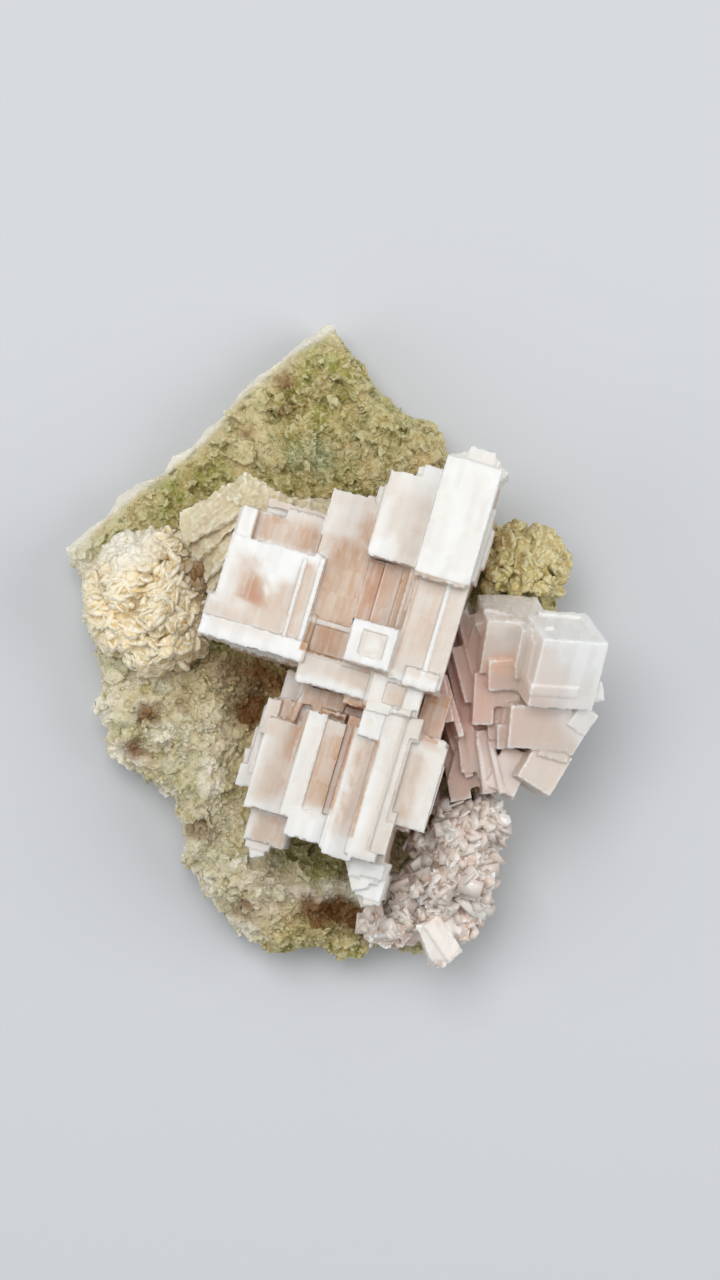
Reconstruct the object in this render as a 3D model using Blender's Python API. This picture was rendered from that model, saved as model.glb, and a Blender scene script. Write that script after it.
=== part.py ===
"""A hand-sized mineral specimen: pink-white hopper crystals of halite on a plate of trona.

The plate lies on its broken back, with its crystals facing up. Lengths are in millimetres and are
scaled to metres where a mesh is made. +X points to the right of the face, +Y to the pointed corner
of the plate and +Z out of the face. The origin is the middle of the base.
"""

import math
import random

import bmesh
import bpy
from mathutils import Euler, Matrix, Vector, noise

MM = 0.001

# Driving dimensions of the plate
PLATE_TOP = 10.5
PLATE_CROWN = 2.2
PLATE_CROWN_REACH = 30.0
PLATE_SEGMENTS = 72
PLATE_RINGS = 13
PLATE_HIDDEN_SHARE = 0.26
PLATE_EDGE_TOP = 7.4
PLATE_EDGE_WANDER = 2.2
PLATE_UNDER_RINGS = ((0.985, 4.6), (0.955, 1.9), (0.90, 0.0), (0.5, 0.0))
PLATE_UNDER_WANDER = 1.5
LUMP_SIZE = 7.5
LUMP_HEIGHT = 2.6
KNOB_SIZE = 4.2
KNOB_HEIGHT = 2.6
EDGE_ROUGHNESS = 2.4
EDGE_TOOTH = 1.9
EDGE_PHASE = 7.7

# The largest trona blades of the plate's face: how many, their length, width and thickness and
# how much these vary, how far they may lean, the share of the plate's area that they may stand
# on from its middle outwards, and the room they leave to whatever stands on the plate
PLATE_BLADES = 44
PLATE_BLADE = (3.6, 2.8, 0.8)
PLATE_BLADE_VARIETY = (0.8, 1.25)
PLATE_BLADE_LEAN = 0.7
PLATE_BLADE_AREA = (0.1, 0.9)
PLATE_BLADE_ROOM = 3.0
PLATE_SEED = 3

# Where the other minerals stand on the plate, the gap under them and how the plate rises away
SEAT_GAP = 0.3
SEAT_SLOPE = 0.8
MAIN_SEAT = 13.4
RIGHT_SEAT = 12.0
ROSETTE_SEAT = 11.0
DRUSE_SEAT = 10.5

# The plate's outline, clockwise from its pointed corner
PLATE_OUTLINE = (
    (-0.6, 45.3), (2.0, 43.0), (4.6, 39.6), (7.0, 37.4), (11.8, 32.2), (15.5, 29.4), (17.0, 26.4),
    (20.5, 21.0), (23.0, 15.6), (28.6, 12.6), (31.4, 8.0), (32.0, 2.6), (31.0, -3.5), (29.4, -8.0),
    (27.6, -13.0), (24.4, -17.4), (22.6, -21.4), (21.8, -27.4), (23.0, -31.0), (22.8, -34.6),
    (20.4, -38.4), (17.2, -42.8), (12.2, -44.4), (6.4, -43.0), (2.1, -45.6), (-1.4, -43.4),
    (-6.8, -44.6), (-13.6, -40.8), (-16.8, -35.4), (-20.8, -31.0), (-21.4, -25.8), (-23.2, -21.4),
    (-27.2, -19.8), (-29.4, -16.6), (-32.4, -13.0), (-32.2, -9.8), (-33.6, -6.8), (-32.0, -3.4),
    (-33.4, 0.4), (-34.2, 4.0), (-36.0, 6.2), (-35.8, 9.6), (-37.6, 13.4), (-34.0, 17.4),
    (-26.4, 23.6), (-18.0, 30.2), (-14.4, 35.0), (-7.6, 41.0),
)

# Hollows in the face of the plate: x, y, radius, depth
PLATE_PITS = (
    (-18.4, 8.5, 3.0, 4.0), (-10.0, -8.0, 3.6, 5.5), (-25.2, -8.8, 1.8, 2.6),
    (-26.0, -15.0, 2.0, 2.8), (-22.6, -19.6, 2.6, 2.0), (2.0, -37.5, 4.0, 4.4),
    (-12.6, -38.2, 2.2, 2.8), (-6.0, 34.0, 2.0, 1.4), (-17.5, 23.0, 4.5, 2.2),
    (-1.5, -29.5, 3.6, 2.0), (20.8, 9.0, 3.0, 2.5),
)

# Raised lumps of the plate: x, y, radius, height
PLATE_MOUNDS = (
    (-27.0, -5.0, 5.0, 2.2), (-19.0, -8.5, 5.0, 3.4), (-14.5, -15.5, 5.0, 4.4),
    (-12.0, -22.5, 5.0, 4.6), (-17.5, -25.0, 5.0, 3.0), (-9.0, -31.5, 5.5, 3.2),
    (-3.5, -39.5, 4.5, 2.4), (-25.0, -12.5, 3.6, 2.2), (-1.0, 31.0, 9.0, 1.0),
    (9.0, 27.0, 6.0, 2.0), (-24.0, 19.5, 5.0, 2.4), (-33.0, 12.0, 3.0, 1.2),
)

# The cubic axes that the main halite grew on: origin on the face, turn in the face, and the
# lean about a point at the height of its front
MAIN_ORIGIN = (2.8, 8.3)
MAIN_FRONT = 30.0
MAIN_TURN = -16.0
MAIN_LEAN_LEFT = -4.0
MAIN_LEAN_UP = -3.0
MAIN_TILT_RANGE = 0.5
MAIN_SEED = 9

# Rectangles on those axes that the main halite covers: left, right, foot, head, seat level
MAIN_FOOTPRINTS = (
    (-14.8, 18.4, -15.4, 18.2, MAIN_SEAT),
    (-8.0, 20.8, -41.0, -12.6, MAIN_SEAT - 0.6),
)

# Ovals of the face that the other minerals cover: x, y, half width, half height, seat level
OVAL_FOOTPRINTS = (
    (-25.4, 6.4, 11.0, 12.6, ROSETTE_SEAT),
    (26.8, 11.2, 9.4, 9.2, ROSETTE_SEAT),
    (26.0, -7.4, 12.5, 16.9, RIGHT_SEAT),
    (14.8, -33.4, 12.6, 13.4, DRUSE_SEAT),
    (-9.0, 16.5, 15.2, 8.0, ROSETTE_SEAT),
)

# Blocks of the main halite on those axes: left, right, foot, head, back, front
MAIN_BLOCKS = (
    # upper group: bodies behind, then the frames, bars and pillars in front of them
    (-13.9, 2.0, -12.5, 7.6, 8.0, 22.3),
    (1.4, 14.9, -11.0, 16.4, 8.0, 23.2),
    (-16.5, -4.6, -6.9, 2.5, 17.9, 29.8),
    (-17.2, -14.6, 1.4, 6.3, 18.3, 29.1),
    (-14.2, -5.0, 5.6, 8.4, 12.0, 25.8),
    (-18.2, -3.6, -9.6, -6.3, 19.2, 29.4),
    (-18.0, -3.4, -12.1, -9.3, 19.7, 30.8),
    (-5.6, 1.2, -6.2, 10.6, 13.9, 28.2),
    (-5.8, -4.5, -9.6, 2.7, 19.2, 29.9),
    (-3.0, 2.6, 10.0, 12.2, 13.9, 27.1),
    (1.1, 9.0, 4.7, 14.0, 15.7, 32.6),
    (2.6, 9.1, 13.0, 16.3, 14.7, 32.1),
    (5.0, 9.2, 15.6, 18.2, 13.7, 32.3),
    (8.6, 15.6, 3.3, 19.8, 13.9, 34.5),
    (8.7, 13.0, 18.8, 20.8, 14.8, 33.8),
    (10.9, 14.6, 19.0, 22.0, 15.2, 34.2),
    (8.8, 15.5, -10.9, 3.8, 14.1, 31.7),
    (11.0, 15.7, -11.2, -8.6, 19.2, 32.8),
    (4.9, 5.8, -4.6, 5.2, 19.2, 28.5),
    (6.4, 7.1, -4.8, 5.3, 19.2, 29.6),
    (7.6, 9.1, -5.4, 5.4, 19.2, 30.8),
    (2.3, 8.2, -10.1, -4.5, 19.2, 33.5),
    (8.0, 11.3, -10.6, -4.0, 18.3, 31.3),
    (-5.4, -3.4, -10.8, -5.0, 17.4, 29.1),
    (-3.6, 2.6, -6.0, -5.1, 17.4, 28.4),
    (-3.5, 6.5, -14.4, -10.2, 17.4, 29.6),
    (3.3, 6.6, -15.7, -13.6, 18.3, 28.7),
    (6.2, 12.9, -15.6, -10.3, 14.8, 30.6),
    # lower group of pillars
    (-5.8, 16.6, -30.2, -13.0, 8.0, 19.2),
    (-3.1, 4.6, -17.0, -13.4, 13.9, 23.3),
    (-7.2, -5.2, -30.2, -18.6, 12.0, 22.2),
    (-6.2, -2.6, -24.2, -17.4, 12.4, 21.5),
    (-5.5, -0.9, -32.0, -20.2, 13.0, 24.3),
    (-0.9, 1.0, -32.7, -17.7, 13.9, 27.8),
    (0.8, 5.8, -34.2, -16.9, 13.9, 26.8),
    (5.7, 10.3, -35.6, -18.3, 13.0, 28.5),
    (9.2, 12.4, -35.4, -15.3, 12.6, 29.9),
    (12.0, 14.7, -34.2, -15.0, 12.2, 28.9),
    (6.8, 9.3, -18.5, -15.2, 17.4, 30.1),
    (13.2, 18.6, -29.0, -17.1, 15.7, 27.3),
    # small broken crystal at the foot of the left pillars
    (-4.8, 0.4, -37.2, -31.4, 12.0, 21.5),
    # ragged tongue below the pillars
    (11.6, 15.2, -38.2, -33.8, 9.0, 24.0),
    (12.8, 15.8, -40.2, -36.8, 9.0, 21.5),
    # ledges that stand out from the sides
    (15.0, 16.3, 5.2, 15.6, 21.0, 29.3),
    (15.2, 16.9, 7.4, 12.8, 23.1, 27.1),
    (-17.6, -13.0, -4.8, 0.8, 20.5, 25.4),
    (-12.6, -7.0, 8.0, 8.7, 14.8, 22.7),
    (0.4, 4.6, -35.3, -32.2, 15.7, 22.7),
    (-8.2, -5.0, -27.2, -21.6, 13.0, 18.3),
    (17.6, 19.2, -26.8, -19.8, 17.9, 24.1),
)

# Hoppers in the sides of those blocks: left, right, foot, head, back, front
MAIN_SIDE_HOPPERS = (
    (16.3, 20.0, 8.6, 11.6, 24.1, 26.1),
    (15.2, 20.0, -7.6, 1.6, 17.8, 29.1),
    (9.8, 14.4, 19.2, 30.0, 18.3, 30.6),
    (2.4, 8.0, 15.4, 17.4, 19.2, 28.9),
    (-30.0, -16.0, -4.6, 1.2, 21.4, 28.0),
    (-16.0, -6.0, -30.0, -11.6, 22.7, 28.9),
    (-1.6, 5.4, -15.2, -13.9, 20.1, 27.5),
    (6.4, 9.6, -39.2, -35.0, 16.6, 26.6),
    (1.6, 5.0, -39.2, -33.6, 17.1, 24.7),
    (18.0, 30.0, -27.6, -18.6, 18.9, 25.9),
)

# Hoppers: stepped hollows sunk from the front of those blocks: left, right, foot, head, floor
MAIN_HOPPERS = (
    (-13.6, -10.4, -5.6, -0.6, 23.4),
    (-10.8, -6.6, -5.0, 0.2, 28.4),
    (-14.4, -6.0, -5.9, 0.5, 29.1),
    (-4.3, 0.6, -4.6, 9.4, 27.5),
    (-1.6, 0.9, 3.0, 7.6, 24.5),
    (2.2, 8.0, 5.6, 12.6, 32.1),
    (9.7, 11.6, 4.6, 17.6, 34.0),
    (10.0, 13.8, -8.2, 2.2, 31.1),
    (3.3, 7.2, -9.1, -5.5, 32.6),
    (4.1, 6.4, -8.3, -6.3, 31.7),
    (-2.9, 2.0, -9.9, -6.3, 24.8),
    (-2.6, 5.2, -13.5, -10.9, 29.1),
    (7.4, 11.4, -14.6, -11.4, 29.1),
    (8.2, 10.8, -13.9, -12.1, 28.0),
    (-4.7, -2.4, -31.0, -21.2, 23.8),
    (-2.9, -1.2, -26.2, -19.2, 18.9),
    (1.6, 4.2, -32.2, -17.7, 25.5),
    (4.3, 5.5, -30.8, -15.8, 19.7),
    (6.5, 9.0, -33.8, -19.1, 27.5),
    (7.2, 8.6, -32.8, -20.0, 26.1),
    (10.0, 11.6, -33.0, -19.8, 29.4),
    (7.5, 8.8, -17.7, -15.4, 28.9),
    (14.0, 17.6, -28.0, -18.2, 26.6),
    (14.6, 16.6, -27.0, -19.6, 25.4),
    (-3.8, -0.6, -36.4, -32.6, 19.4),
)

# Crystals of the right-hand group: centre, size, then turns about X, Y and Z in degrees
RIGHT_CRYSTALS = (
    ((31.4, -2.0, 23.6), (9.6, 10.4, 9.8), (25, 19, -4)),
    ((24.8, 1.4, 20.0), (9.0, 8.2, 9.4), (24, 12, -3)),
    ((19.3, 1.0, 18.5), (3.8, 5.4, 6.0), (14, -12, 8)),
    ((23.6, -3.4, 20.8), (4.4, 4.4, 6.4), (16, 8, 2)),
    ((26.9, -0.2, 22.8), (3.6, 7.6, 6.0), (24, 15, -4)),
    ((20.8, -7.2, 17.8), (2.8, 7.2, 9.0), (4, 6, -2)),
    ((24.2, -6.2, 18.6), (3.4, 3.8, 7.0), (8, 5, 3)),
    ((22.9, -10.2, 17.2), (2.2, 5.4, 7.0), (3, 0, 4)),
    ((28.2, -10.6, 18.6), (8.4, 6.0, 9.0), (12, 10, -3)),
    ((34.4, -9.6, 20.4), (3.2, 3.4, 5.0), (10, 24, -32)),
    ((36.0, -6.4, 21.8), (2.8, 2.8, 3.4), (12, 18, 12)),
    ((28.8, -17.0, 18.2), (5.6, 6.0, 6.8), (-8, 14, -33)),
    ((24.9, -17.9, 16.8), (4.2, 6.2, 6.6), (-6, -4, -24)),
    ((21.8, -16.4, 16.2), (2.6, 8.8, 7.0), (-3, 4, 6)),
    ((18.8, -10.2, 15.0), (3.4, 15.0, 7.4), (0, 6, 6)),
    ((16.6, -8.6, 14.4), (2.2, 9.0, 6.6), (0, 10, 14)),
    ((17.6, -17.6, 14.4), (3.0, 8.0, 6.4), (4, 0, 10)),
)

# Hoppers of the right-hand group: which crystal, which face (0 is X, 1 is Y, 2 is Z),
# share of the face, depth
RIGHT_HOPPERS = (
    (0, 1, 0.74, 1.6), (0, 1, 0.48, 3.4), (0, 0, 0.62, 0.7),
    (1, 1, 0.70, 2.0), (3, 2, 0.62, 1.4), (6, 2, 0.56, 1.0),
    (8, 2, 0.66, 0.8), (11, 2, 0.62, 0.8), (5, 2, 0.50, 0.8),
)

# Laths of cream trona that fan out from behind the main halite: centre, size, turns
UPPER_LATHS = (
    ((-17.6, 16.4, 15.6), (10.6, 3.6, 9.4), (18, -8, 44)),
    ((-14.8, 18.6, 15.8), (10.8, 2.6, 10.6), (26, 6, 30)),
    ((-12.6, 20.6, 15.0), (9.8, 2.0, 10.4), (20, 2, 12)),
    ((-9.0, 19.9, 15.2), (8.0, 3.4, 10.0), (32, 8, -22)),
    ((-6.2, 18.2, 14.6), (9.0, 2.6, 8.6), (26, 4, -34)),
    ((-2.2, 17.6, 14.0), (6.0, 3.0, 8.6), (10, 0, 8)),
    ((1.6, 18.4, 14.0), (4.6, 2.6, 8.0), (18, 0, -6)),
    ((-19.6, 12.6, 14.6), (8.6, 2.6, 8.4), (-14, -10, 52)),
    ((-17.2, 11.4, 15.2), (7.8, 3.0, 9.4), (10, 14, 30)),
    ((-16.4, 8.8, 14.0), (5.8, 3.2, 7.6), (-20, 12, 64)),
)

# Mounds that the laths and the right-hand group grow from: centre, half axes
UPPER_ROOTS = (
    ((-11.0, 17.6, 11.0), (9.0, 3.6, 4.6)),
    ((-18.0, 13.0, 11.0), (4.2, 5.6, 4.4)),
    ((-2.0, 17.6, 11.0), (6.0, 3.2, 4.2)),
)
RIGHT_ROOT = ((24.6, -8.0, 12.6), (11.5, 10.5, 6.5))

# Rosettes: centre, half axes, blade count, blade length range, seed
LEFT_ROSETTE = ((-25.0, 6.4, 12.4), (9.4, 10.6, 9.8), 37, (4.6, 7.4), 11)
RIGHT_ROSETTE = ((26.8, 10.8, 12.0), (6.8, 6.6, 6.8), 27, (4.6, 6.8), 24)

# Shares of a rosette's half axes that its core fills and that its blades' middles stand at, how
# far down its sides they go, their wander round it and their lean, their width as a share of
# their length, and their thickness
ROSETTE_CORE = 0.8
ROSETTE_SHELL = 0.72
ROSETTE_REACH = 1.05
ROSETTE_WANDER = 0.4
ROSETTE_LEAN = 0.35
ROSETTE_BLADE_WIDTH = (0.7, 1.0)
ROSETTE_BLADE_THICKNESS = (0.7, 1.1)

# A plane that parts the left rosette from the laths: its turn about Z and its place
SPLIT_TURN = 22.2
SPLIT_PLACE = -13.0

# Spaces left to the neighbours, as boxes: left, right, foot, head, back, front.
# Those named MAIN are on the main halite's axes.
FAR = 60.0
LEFT_ROSETTE_CLEAR = ((-17.6, 0.0, -20.0, 6.6, 17.4, FAR),)
LEFT_ROSETTE_SPLIT = ((SPLIT_PLACE - SEAT_GAP, FAR, -FAR, FAR, 0.0, FAR),)
RIGHT_ROSETTE_CLEAR = ((0.0, FAR, -FAR, 7.4, 0.0, FAR),)
RIGHT_ROSETTE_CLEAR_MAIN = ((-10.0, 17.3, -30.0, 30.0, 0.0, FAR),)
UPPER_SPLIT = ((-FAR, SPLIT_PLACE + SEAT_GAP, -FAR, FAR, 0.0, FAR),)
UPPER_CLEAR_MAIN = (
    (-14.7, 20.0, -30.0, 9.2, 0.0, FAR),
    (-17.8, 20.0, -30.0, 7.0, 15.5, FAR),
    (-6.4, 20.0, -30.0, 12.8, 0.0, FAR),
    (1.0, 20.0, -30.0, 20.0, 0.0, FAR),
)
RIGHT_CLEAR_MAIN = (
    (-10.0, 17.3, -13.5, 30.0, 0.0, FAR),
    (-10.0, 19.6, -50.0, -15.0, 14.5, FAR),
    (-10.0, 17.3, -50.0, -10.0, 0.0, FAR),
)
DRUSE_CLEAR_MAIN = (
    (-20.0, 15.3, -38.4, -10.0, 0.0, FAR),
    (9.9, 16.3, -42.0, -30.0, 0.0, FAR),
    (0.0, 19.6, -30.4, -10.0, 0.0, FAR),
)
DRUSE_CLEAR = ((16.0, FAR, -22.2, 0.0, 0.0, FAR),)

# Lower right druse of small pink crystals: mounds it grows on, the lumps in those, and the
# blocks scattered over them, with the share of the mound's half axes that they stand at and
# how low on its sides they go
DRUSE_MOUNDS = (
    ((17.0, -28.0, 11.0), (5.6, 5.8, 7.4)),
    ((14.0, -35.0, 10.6), (5.6, 5.0, 7.6)),
    ((20.2, -32.6, 10.4), (3.0, 6.2, 7.4)),
    ((9.0, -39.6, 10.2), (5.0, 3.6, 5.2)),
    ((17.4, -38.6, 10.0), (4.0, 3.6, 5.0)),
    ((20.4, -25.0, 10.4), (3.2, 4.0, 6.4)),
)
DRUSE_LUMPS = 1.2
DRUSE_LUMP_SIZE = 2.4
DRUSE_BLOCKS = 34
DRUSE_BLOCK_SIDE = (1.2, 2.6)
DRUSE_BLOCK_LENGTH = (2.0, 3.6)
DRUSE_BLOCK_TURN = 35.0
DRUSE_BLOCK_SINK = 0.95
DRUSE_LOWEST = 0.15
DRUSE_SEED = 7

# One larger prism at the foot of the druse: centre, size, turns
DRUSE_PRISM = ((14.6, -41.6, 14.2), (3.4, 6.8, 4.2), (10, 6, 22))


def scaled(values):
    """Millimetres to metres."""
    return Vector(values) * MM


def turned(centre, turns):
    """A frame at a centre in millimetres, turned about X, Y and Z by degrees."""
    angles = Euler([math.radians(angle) for angle in turns], "XYZ")
    return Matrix.Translation(scaled(centre)) @ angles.to_matrix().to_4x4()


def clear_scene():
    for thing in list(bpy.data.objects):
        bpy.data.objects.remove(thing, do_unlink=True)


def make_collection(name, hidden=False):
    collection = bpy.data.collections.new(name)
    bpy.context.scene.collection.children.link(collection)
    collection.hide_render = hidden
    return collection


def make_material(name, colour, roughness, transmission=0.0):
    material = bpy.data.materials.new(name)
    material.use_nodes = True
    shader = material.node_tree.nodes["Principled BSDF"]
    shader.inputs["Base Color"].default_value = (*colour, 1.0)
    shader.inputs["Roughness"].default_value = roughness
    shader.inputs["Metallic"].default_value = 0.0
    shader.inputs["Transmission Weight"].default_value = transmission
    return material


def make_object(name, mesh_maker, collection, material=None):
    """An object in a collection, its mesh filled by mesh_maker(bm)."""
    bm = bmesh.new()
    mesh_maker(bm)
    mesh = bpy.data.meshes.new(name)
    bm.to_mesh(mesh)
    bm.free()
    if material:
        mesh.materials.append(material)
    thing = bpy.data.objects.new(name, mesh)
    collection.objects.link(thing)
    return thing


def make_helper(name, mesh_maker, collection):
    """A guide that a Boolean reads and a render leaves out."""
    helper = make_object(name, mesh_maker, collection)
    helper.hide_render = True
    helper.display_type = "WIRE"
    return helper


def box_maker(size, frame):
    """Fills a bmesh with a box of this size in millimetres, centred on the frame."""
    def fill(bm):
        scale = Matrix.Diagonal((*scaled(size), 1.0))
        bmesh.ops.create_cube(bm, size=1.0, matrix=frame @ scale)
    return fill


def span_maker(left, right, foot, head, back, front, frame):
    """Fills a bmesh with a box given by its limits in millimetres along the frame's axes."""
    middle = ((left + right) / 2, (foot + head) / 2, (back + front) / 2)
    size = (right - left, head - foot, front - back)
    return box_maker(size, frame @ Matrix.Translation(scaled(middle)))


def blade_maker(length, width, thickness, frame):
    """Fills a bmesh with a six-sided blade that stands along the frame's Z."""
    def fill(bm):
        shape = Matrix.Diagonal((*scaled((width, thickness, length)), 1.0))
        lie = Matrix.Rotation(math.radians(90), 4, "X")
        made = bmesh.ops.create_cone(bm, cap_ends=True, segments=6, radius1=0.5, radius2=0.5, depth=1.0)
        bmesh.ops.transform(bm, matrix=frame @ shape @ lie, verts=made["verts"])
    return fill


def ball_maker(half_axes, centre, lumps=0.0):
    """Fills a bmesh with a faceted ellipsoid, its points moved in and out by up to lumps millimetres."""
    def fill(bm):
        matrix = Matrix.Translation(scaled(centre)) @ Matrix.Diagonal((*scaled(half_axes), 1.0))
        made = bmesh.ops.create_icosphere(bm, subdivisions=2, radius=1.0, matrix=matrix)
        for vertex in made["verts"]:
            out = (vertex.co - scaled(centre)).normalized()
            vertex.co += out * lumps * MM * noise.noise(vertex.co / MM / DRUSE_LUMP_SIZE)
    return fill


def add_boolean(thing, name, operation, collection):
    modifier = thing.modifiers.new(name, "BOOLEAN")
    modifier.operation = operation
    modifier.operand_type = "COLLECTION"
    modifier.collection = collection
    modifier.solver = "EXACT"


def add_spans(name, spans, frame, collection):
    """A helper box in the collection for each set of limits, all on one frame."""
    for index, limits in enumerate(spans):
        make_helper(f"{name}_{index}", span_maker(*limits, frame), collection)


def grow_together(name, fills, cutters, collection, material):
    """One object: the union of every shape that the fills make, less all the cutters."""
    growth = make_collection(name + "_growth", hidden=True)
    body = make_object(name, fills[0], collection, material)
    for index, fill in enumerate(fills[1:]):
        make_helper(f"{name}_growth_{index}", fill, growth)
    add_boolean(body, "grown together", "UNION", growth)
    if cutters:
        add_boolean(body, "hollows and seat", "DIFFERENCE", cutters)
    return body


def reach_of_outline(angle):
    """How far the plate's outline is from the origin in this direction."""
    ray = Vector((math.cos(angle), math.sin(angle)))
    reach = 0.0
    for index, start in enumerate(PLATE_OUTLINE):
        a = Vector(start)
        edge = Vector(PLATE_OUTLINE[(index + 1) % len(PLATE_OUTLINE)]) - a
        cross = ray.cross(edge)
        if abs(cross) < 1e-9:
            continue
        along_ray = a.cross(edge) / cross
        along_edge = a.cross(ray) / cross
        if along_ray > 0 and 0 <= along_edge <= 1:
            reach = max(reach, along_ray)
    return reach


def main_frame():
    """The main halite's cubic axes, as a matrix in metres."""
    lean = turned((0, 0, 0), (MAIN_LEAN_UP, MAIN_LEAN_LEFT, 0))
    front = Matrix.Translation(scaled((0, 0, MAIN_FRONT)))
    return turned((*MAIN_ORIGIN, 0), (0, 0, MAIN_TURN)) @ front @ lean @ front.inverted()


def outside_rectangle(x, y, limits):
    """How far a point of the face lies outside a rectangle on the main halite's axes."""
    left, right, foot, head = limits
    angle = math.radians(MAIN_TURN)
    dx = x - MAIN_ORIGIN[0]
    dy = y - MAIN_ORIGIN[1]
    u = dx * math.cos(angle) + dy * math.sin(angle)
    v = dy * math.cos(angle) - dx * math.sin(angle)
    return math.hypot(max(left - u, u - right, 0.0), max(foot - v, v - head, 0.0))


def outside_oval(x, y, oval):
    """How far a point of the face lies outside an oval, measured along its width."""
    centre_x, centre_y, half_width, half_height = oval
    stretch = half_width / half_height
    return max(0.0, math.hypot(x - centre_x, (y - centre_y) * stretch) - half_width)


def footprints(x, y):
    """For each mineral on the plate: how far this point lies outside it, and its seat level."""
    found = [(outside_rectangle(x, y, place[:4]), place[4]) for place in MAIN_FOOTPRINTS]
    return found + [(outside_oval(x, y, place[:4]), place[4]) for place in OVAL_FOOTPRINTS]


def bump(x, y, spot):
    """A smooth bell at a named spot of the plate, from 0 to its own height."""
    spot_x, spot_y, radius, height = spot
    return height * math.exp(-((x - spot_x) ** 2 + (y - spot_y) ** 2) / radius ** 2)


def plate_height(x, y):
    """The face of the plate above its base: a low crown with lumps, knobs, hollows and seats."""
    height = PLATE_TOP + PLATE_CROWN * math.exp(-(x * x + y * y) / PLATE_CROWN_REACH ** 2)
    height += LUMP_HEIGHT * noise.noise(Vector((x, y, 3.0)) / LUMP_SIZE)
    nearest = noise.voronoi(Vector((x, y, 8.0)) / KNOB_SIZE)[0][0]
    height += KNOB_HEIGHT * (0.5 - nearest)
    height += sum(bump(x, y, mound) for mound in PLATE_MOUNDS)
    height -= sum(bump(x, y, pit) for pit in PLATE_PITS)
    limits = [level + SEAT_SLOPE * outside for outside, level in footprints(x, y)]
    return min(height, *limits)


def plate_edge(angle):
    """How far the plate reaches in this direction, with the teeth of its broken edge."""
    reach = reach_of_outline(angle)
    tooth = Vector((reach * math.cos(angle), reach * math.sin(angle), 0.0)) / EDGE_TOOTH
    tooth.z = EDGE_PHASE
    return reach + EDGE_ROUGHNESS * noise.noise(tooth)


def shape_plate(bm):
    """A ball whose rings become the face, the edge and the flat back of the plate."""
    rings = PLATE_RINGS + len(PLATE_UNDER_RINGS)
    bmesh.ops.create_uvsphere(bm, u_segments=PLATE_SEGMENTS, v_segments=rings + 1, radius=1.0)
    for vertex in bm.verts:
        angle = math.atan2(vertex.co.y, vertex.co.x)
        ring = round(math.acos(max(-1.0, min(1.0, vertex.co.z))) / math.pi * (rings + 1))
        reach = plate_edge(angle)
        if ring == 0:
            reach = 0.0
            z = plate_height(0.0, 0.0)
        elif ring == rings + 1:
            reach = 0.0
            z = 0.0
        elif ring <= PLATE_RINGS:
            reach *= PLATE_HIDDEN_SHARE + (1 - PLATE_HIDDEN_SHARE) * (ring - 1) / (PLATE_RINGS - 1)
            z = plate_height(reach * math.cos(angle), reach * math.sin(angle))
            if ring == PLATE_RINGS:
                z = min(z, PLATE_EDGE_TOP + PLATE_EDGE_WANDER * noise.noise(Vector((reach, angle, 5.0))))
        else:
            share, z = PLATE_UNDER_RINGS[ring - PLATE_RINGS - 1]
            wander = noise.noise(Vector((math.cos(angle), math.sin(angle), z)) * 5.0)
            reach = reach * share + PLATE_UNDER_WANDER * wander
        vertex.co = scaled((reach * math.cos(angle), reach * math.sin(angle), z))


def make_plate(collection, material):
    """The plate, with the largest of the trona blades on its open face fused to it."""
    wander = random.Random(PLATE_SEED)
    fills = [shape_plate]
    while len(fills) <= PLATE_BLADES:
        angle = wander.uniform(0, 2 * math.pi)
        reach = reach_of_outline(angle) * math.sqrt(wander.uniform(*PLATE_BLADE_AREA))
        x = reach * math.cos(angle)
        y = reach * math.sin(angle)
        room = min(outside for outside, level in footprints(x, y))
        if room < PLATE_BLADE_ROOM:
            continue
        lean = Vector([wander.uniform(-PLATE_BLADE_LEAN, PLATE_BLADE_LEAN) for _ in range(2)] + [1.0])
        stand = lean.to_track_quat("Z", "Y").to_matrix().to_4x4()
        spin = Matrix.Rotation(wander.uniform(0, math.pi), 4, "Z")
        place = Matrix.Translation(scaled((x, y, plate_height(x, y))))
        size = [side * wander.uniform(*PLATE_BLADE_VARIETY) for side in PLATE_BLADE]
        fills.append(blade_maker(*size, place @ stand @ spin))
    return grow_together("trona_matrix", fills, None, collection, material)


def seat_cutter(name, level):
    """A slab that trims whatever stands on the plate just above its seat."""
    limits = (-FAR, FAR, -FAR, FAR, -FAR, level + SEAT_GAP)
    cutters = make_collection(name + "_cutters", hidden=True)
    add_spans(name + "_seat", [limits], Matrix.Identity(4), cutters)
    return cutters


def make_main_halite(collection, material):
    """All the blocks of the main halite, grown together on one set of cubic axes."""
    wander = random.Random(MAIN_SEED)
    frame = main_frame()
    fills = []
    for block in MAIN_BLOCKS:
        turns = [wander.uniform(-MAIN_TILT_RANGE, MAIN_TILT_RANGE) for _ in range(3)]
        fills.append(span_maker(*block, frame @ turned((0, 0, 0), turns)))
    cutters = seat_cutter("main_halite", MAIN_SEAT)
    add_spans("main_hopper", [(*hopper, FAR) for hopper in MAIN_HOPPERS], frame, cutters)
    add_spans("main_side_hopper", MAIN_SIDE_HOPPERS, frame, cutters)
    return grow_together("halite_main", fills, cutters, collection, material)


def hopper_frame(crystal, face):
    """The frame of a hollow that opens on one face of a crystal."""
    centre, size, turns = crystal
    offset = [0.0, 0.0, 0.0]
    offset[face] = size[face] / 2
    return turned(centre, turns) @ Matrix.Translation(scaled(offset))


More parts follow.
